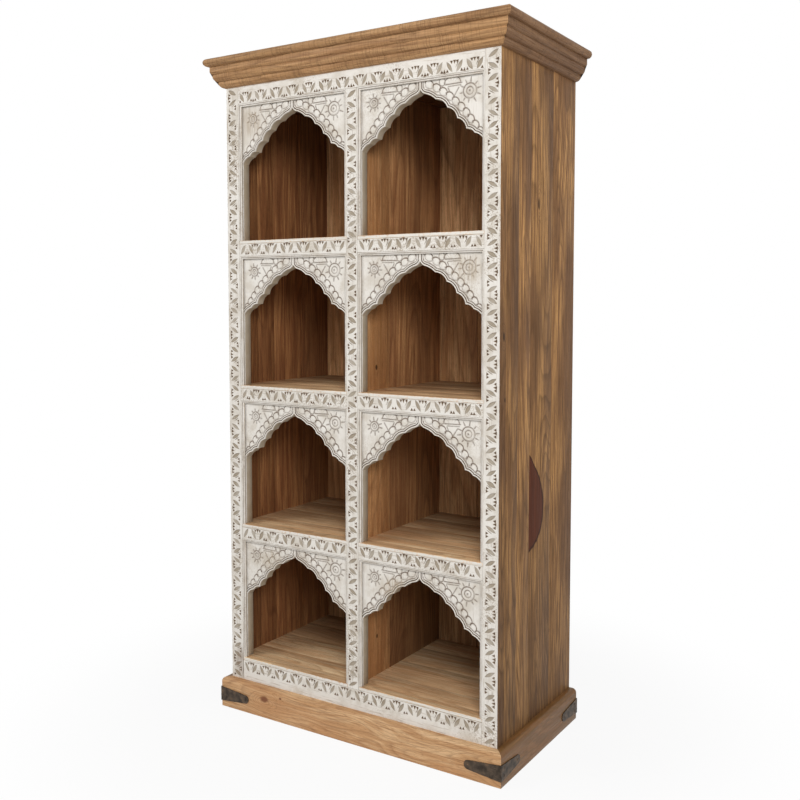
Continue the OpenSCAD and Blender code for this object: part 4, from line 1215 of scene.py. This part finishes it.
# one strap is a sheet bent round its corner, then given its thickness
def makeStrap(name, node, sx, sy):
    bm = newMesh()
    steps, bands = strapLook["steps"], strapLook["bands"]
    knee, crowd = strapLook["crowdFrom"], strapLook["crowd"]
    made = bmesh.ops.create_grid(bm, x_segments=2 * steps, y_segments=bands, size=0.5)["verts"]
    cornerX, cornerY = plinthCorner(sy)
    seed = Vector((sx * 7.0, sy * 3.0, 0))
    for v in made:
        i, j = round((v.co.x + 0.5) * 2 * steps), round((v.co.y + 0.5) * bands)
        t = (i - steps) / steps
        share = abs(t)                                 # closer stations towards the round end
        if share > knee:
            u = strapLook["length"] * (1 - (1 - share) ** crowd)
        else:
            u = strapLook["length"] * (share * (1 - (1 - knee) ** crowd) / knee)
        z = strapLook["middle"] + strapHalf(u) * (2 * j / bands - 1)
        z += strapLook["ragged"] * noise.noise(Vector((u * 0.05, j, t)) + seed)
        inwards = (1 - min(u / strapLook["bend"], 1.0)) * strapLook["bendIn"] * mm
        if t < 0:
            v.co = (sx * (cornerX - inwards), cornerY - sy * u * mm, z * mm)
        else:
            v.co = (sx * (cornerX - u * mm), cornerY - sy * inwards, z * mm)
    finishNormals(bm)
    # the sheet's faces look away from the wood
    middleFace = max(bm.faces, key=lambda f: abs(f.calc_center_median().x))
    if middleFace.normal.x * sx < 0:
        bmesh.ops.reverse_faces(bm, faces=bm.faces)
    outer = bmesh.ops.extrude_face_region(bm, geom=bm.faces[:])["geom"]
    for v in [g for g in outer if isinstance(g, bmesh.types.BMVert)]:
        depth = strapLook["thick"] - strapLook["dents"] * (1 + noise.noise(v.co * 160 + seed))
        onSide = abs(abs(v.co.x) - cornerX) < 0.5 * mm
        onFront = abs(v.co.y - cornerY) < 0.5 * mm
        if onSide:
            v.co.x += sx * depth * mm
        if onFront:
            v.co.y += sy * depth * mm
    finishNormals(bm)
    markBoard(bm, Vector((1, 1, 1)))
    newPiece(name, bm, [iron], [node], 40)


for side, s in mirrorX.items():
    makeStrap("frontStrap_" + side, "strap_front_" + side, s, -1)
    makeStrap("backStrap_" + side, "strap_back_" + side, s, 1)

bm = newMesh()
for s, sy, (u, z), onSide in product((-1, 1), (-1, 1), nailLook["places"], (False, True)):
    cornerX, cornerY = plinthCorner(sy)
    made = bmesh.ops.create_icosphere(bm, subdivisions=2, radius=1.0)["verts"]
    for v in made:
        spread = nailLook["radius"] * (1 + nailLook["uneven"] * noise.noise(v.co * 2 + Vector((u, z, s))))
        a, b = v.co.x * spread, v.co.y * spread
        c = v.co.z * nailLook["rise"] + strapLook["thick"] - nailLook["sunk"]
        if onSide:
            v.co = (s * (cornerX + c * mm), cornerY - sy * (u + a) * mm, (z + b) * mm)
        else:
            v.co = (s * (cornerX - (u + a) * mm), cornerY + sy * c * mm, (z + b) * mm)
markBoard(bm, Vector((1, 1, 1)))
finishNormals(bm)
newPiece("strapNailHeads", bm, [iron], ["strap_nails"], 60)
print("plinth and straps done")


# a lamp is its place, its aim, its size and its power
stageLook = {
    "ambient": 0.36, "shadowless": 0.9, "fade": (0.6, 1.3), "floor": 9.0,
    "lamps": {"keyLamp": ((-2.2, -2.8, 2.9), (0, -0.1, 0.9), (1.4, 1.4), 36.0),
              "frontLamp": ((2.5, -3.3, 2.75), (0, 0, 0.9), (1.6, 1.6), 98.0)},
}


# 1 for the camera, for reflections and through clear things
def seenDirectly(owner):
    path = addNode(owner, "LightPath").outputs
    seen = addMaths(owner, "MAXIMUM", path["Is Camera Ray"], path["Is Glossy Ray"])
    return addMaths(owner, "MAXIMUM", seen, path["Is Transmission Ray"])


# Matt white studio paper: it is seen fading to plain white away from the piece.
paper = newMaterial("whiteStudioPaper")
place = addNode(paper, "TexCoord").outputs["Object"]
radius = addVectorMaths(paper, "LENGTH", place)
fade = addRange(paper, radius, stageLook["fade"][0], stageLook["fade"][1], stageLook["shadowless"])
share = addMaths(paper, "MULTIPLY", fade, seenDirectly(paper))
fleck = addNode(paper, "TexNoise", {"Vector": place, "Scale": repeats(3.333), "Detail": 2.0})
paperColour = addNode(paper, "ValToRGB", {"Fac": fleck}, stops=[(0.3, linearColour("#F2F2F2")),
                                                                (0.7, linearColour("#F6F6F6"))])
matt = addNode(paper, "BsdfDiffuse", {"Color": paperColour})
glow = addNode(paper, "Emission", {"Color": grey(1.0), "Strength": 1.0})
mixed = addNode(paper, "MixShader", {0: share, 1: matt, 2: glow})
addNode(paper, "OutputMaterial", {"Surface": mixed})

bm = bmesh.new()
bmesh.ops.create_grid(bm, x_segments=8, y_segments=8, size=stageLook["floor"])
mesh = bpy.data.meshes.new("studioFloor")
bm.to_mesh(mesh)
bm.free()
mesh.materials.append(paper)
floor = bpy.data.objects.new("studioFloor", mesh)
scene.collection.objects.link(floor)

world = bpy.data.worlds.new("studioWorld")
scene.world = world
world.use_nodes = True
world.node_tree.nodes.clear()
soft = addNode(world, "Background", {"Color": grey(1.0), "Strength": stageLook["ambient"]})
white = addNode(world, "Background", {"Color": grey(1.0), "Strength": 1.0})
mixed = addNode(world, "MixShader", {0: seenDirectly(world), 1: soft, 2: white})
addNode(world, "OutputWorld", {"Surface": mixed})

for name, (place, aim, size, power) in stageLook["lamps"].items():
    data = bpy.data.lights.new(name, "AREA")
    data.shape = "RECTANGLE"
    data.size, data.size_y = size
    data.energy = power
    lamp = bpy.data.objects.new(name, data)
    lamp.location = place
    lamp.rotation_euler = (Vector(aim) - Vector(place)).to_track_quat("-Z", "Y").to_euler()
    scene.collection.objects.link(lamp)
print("stage done")
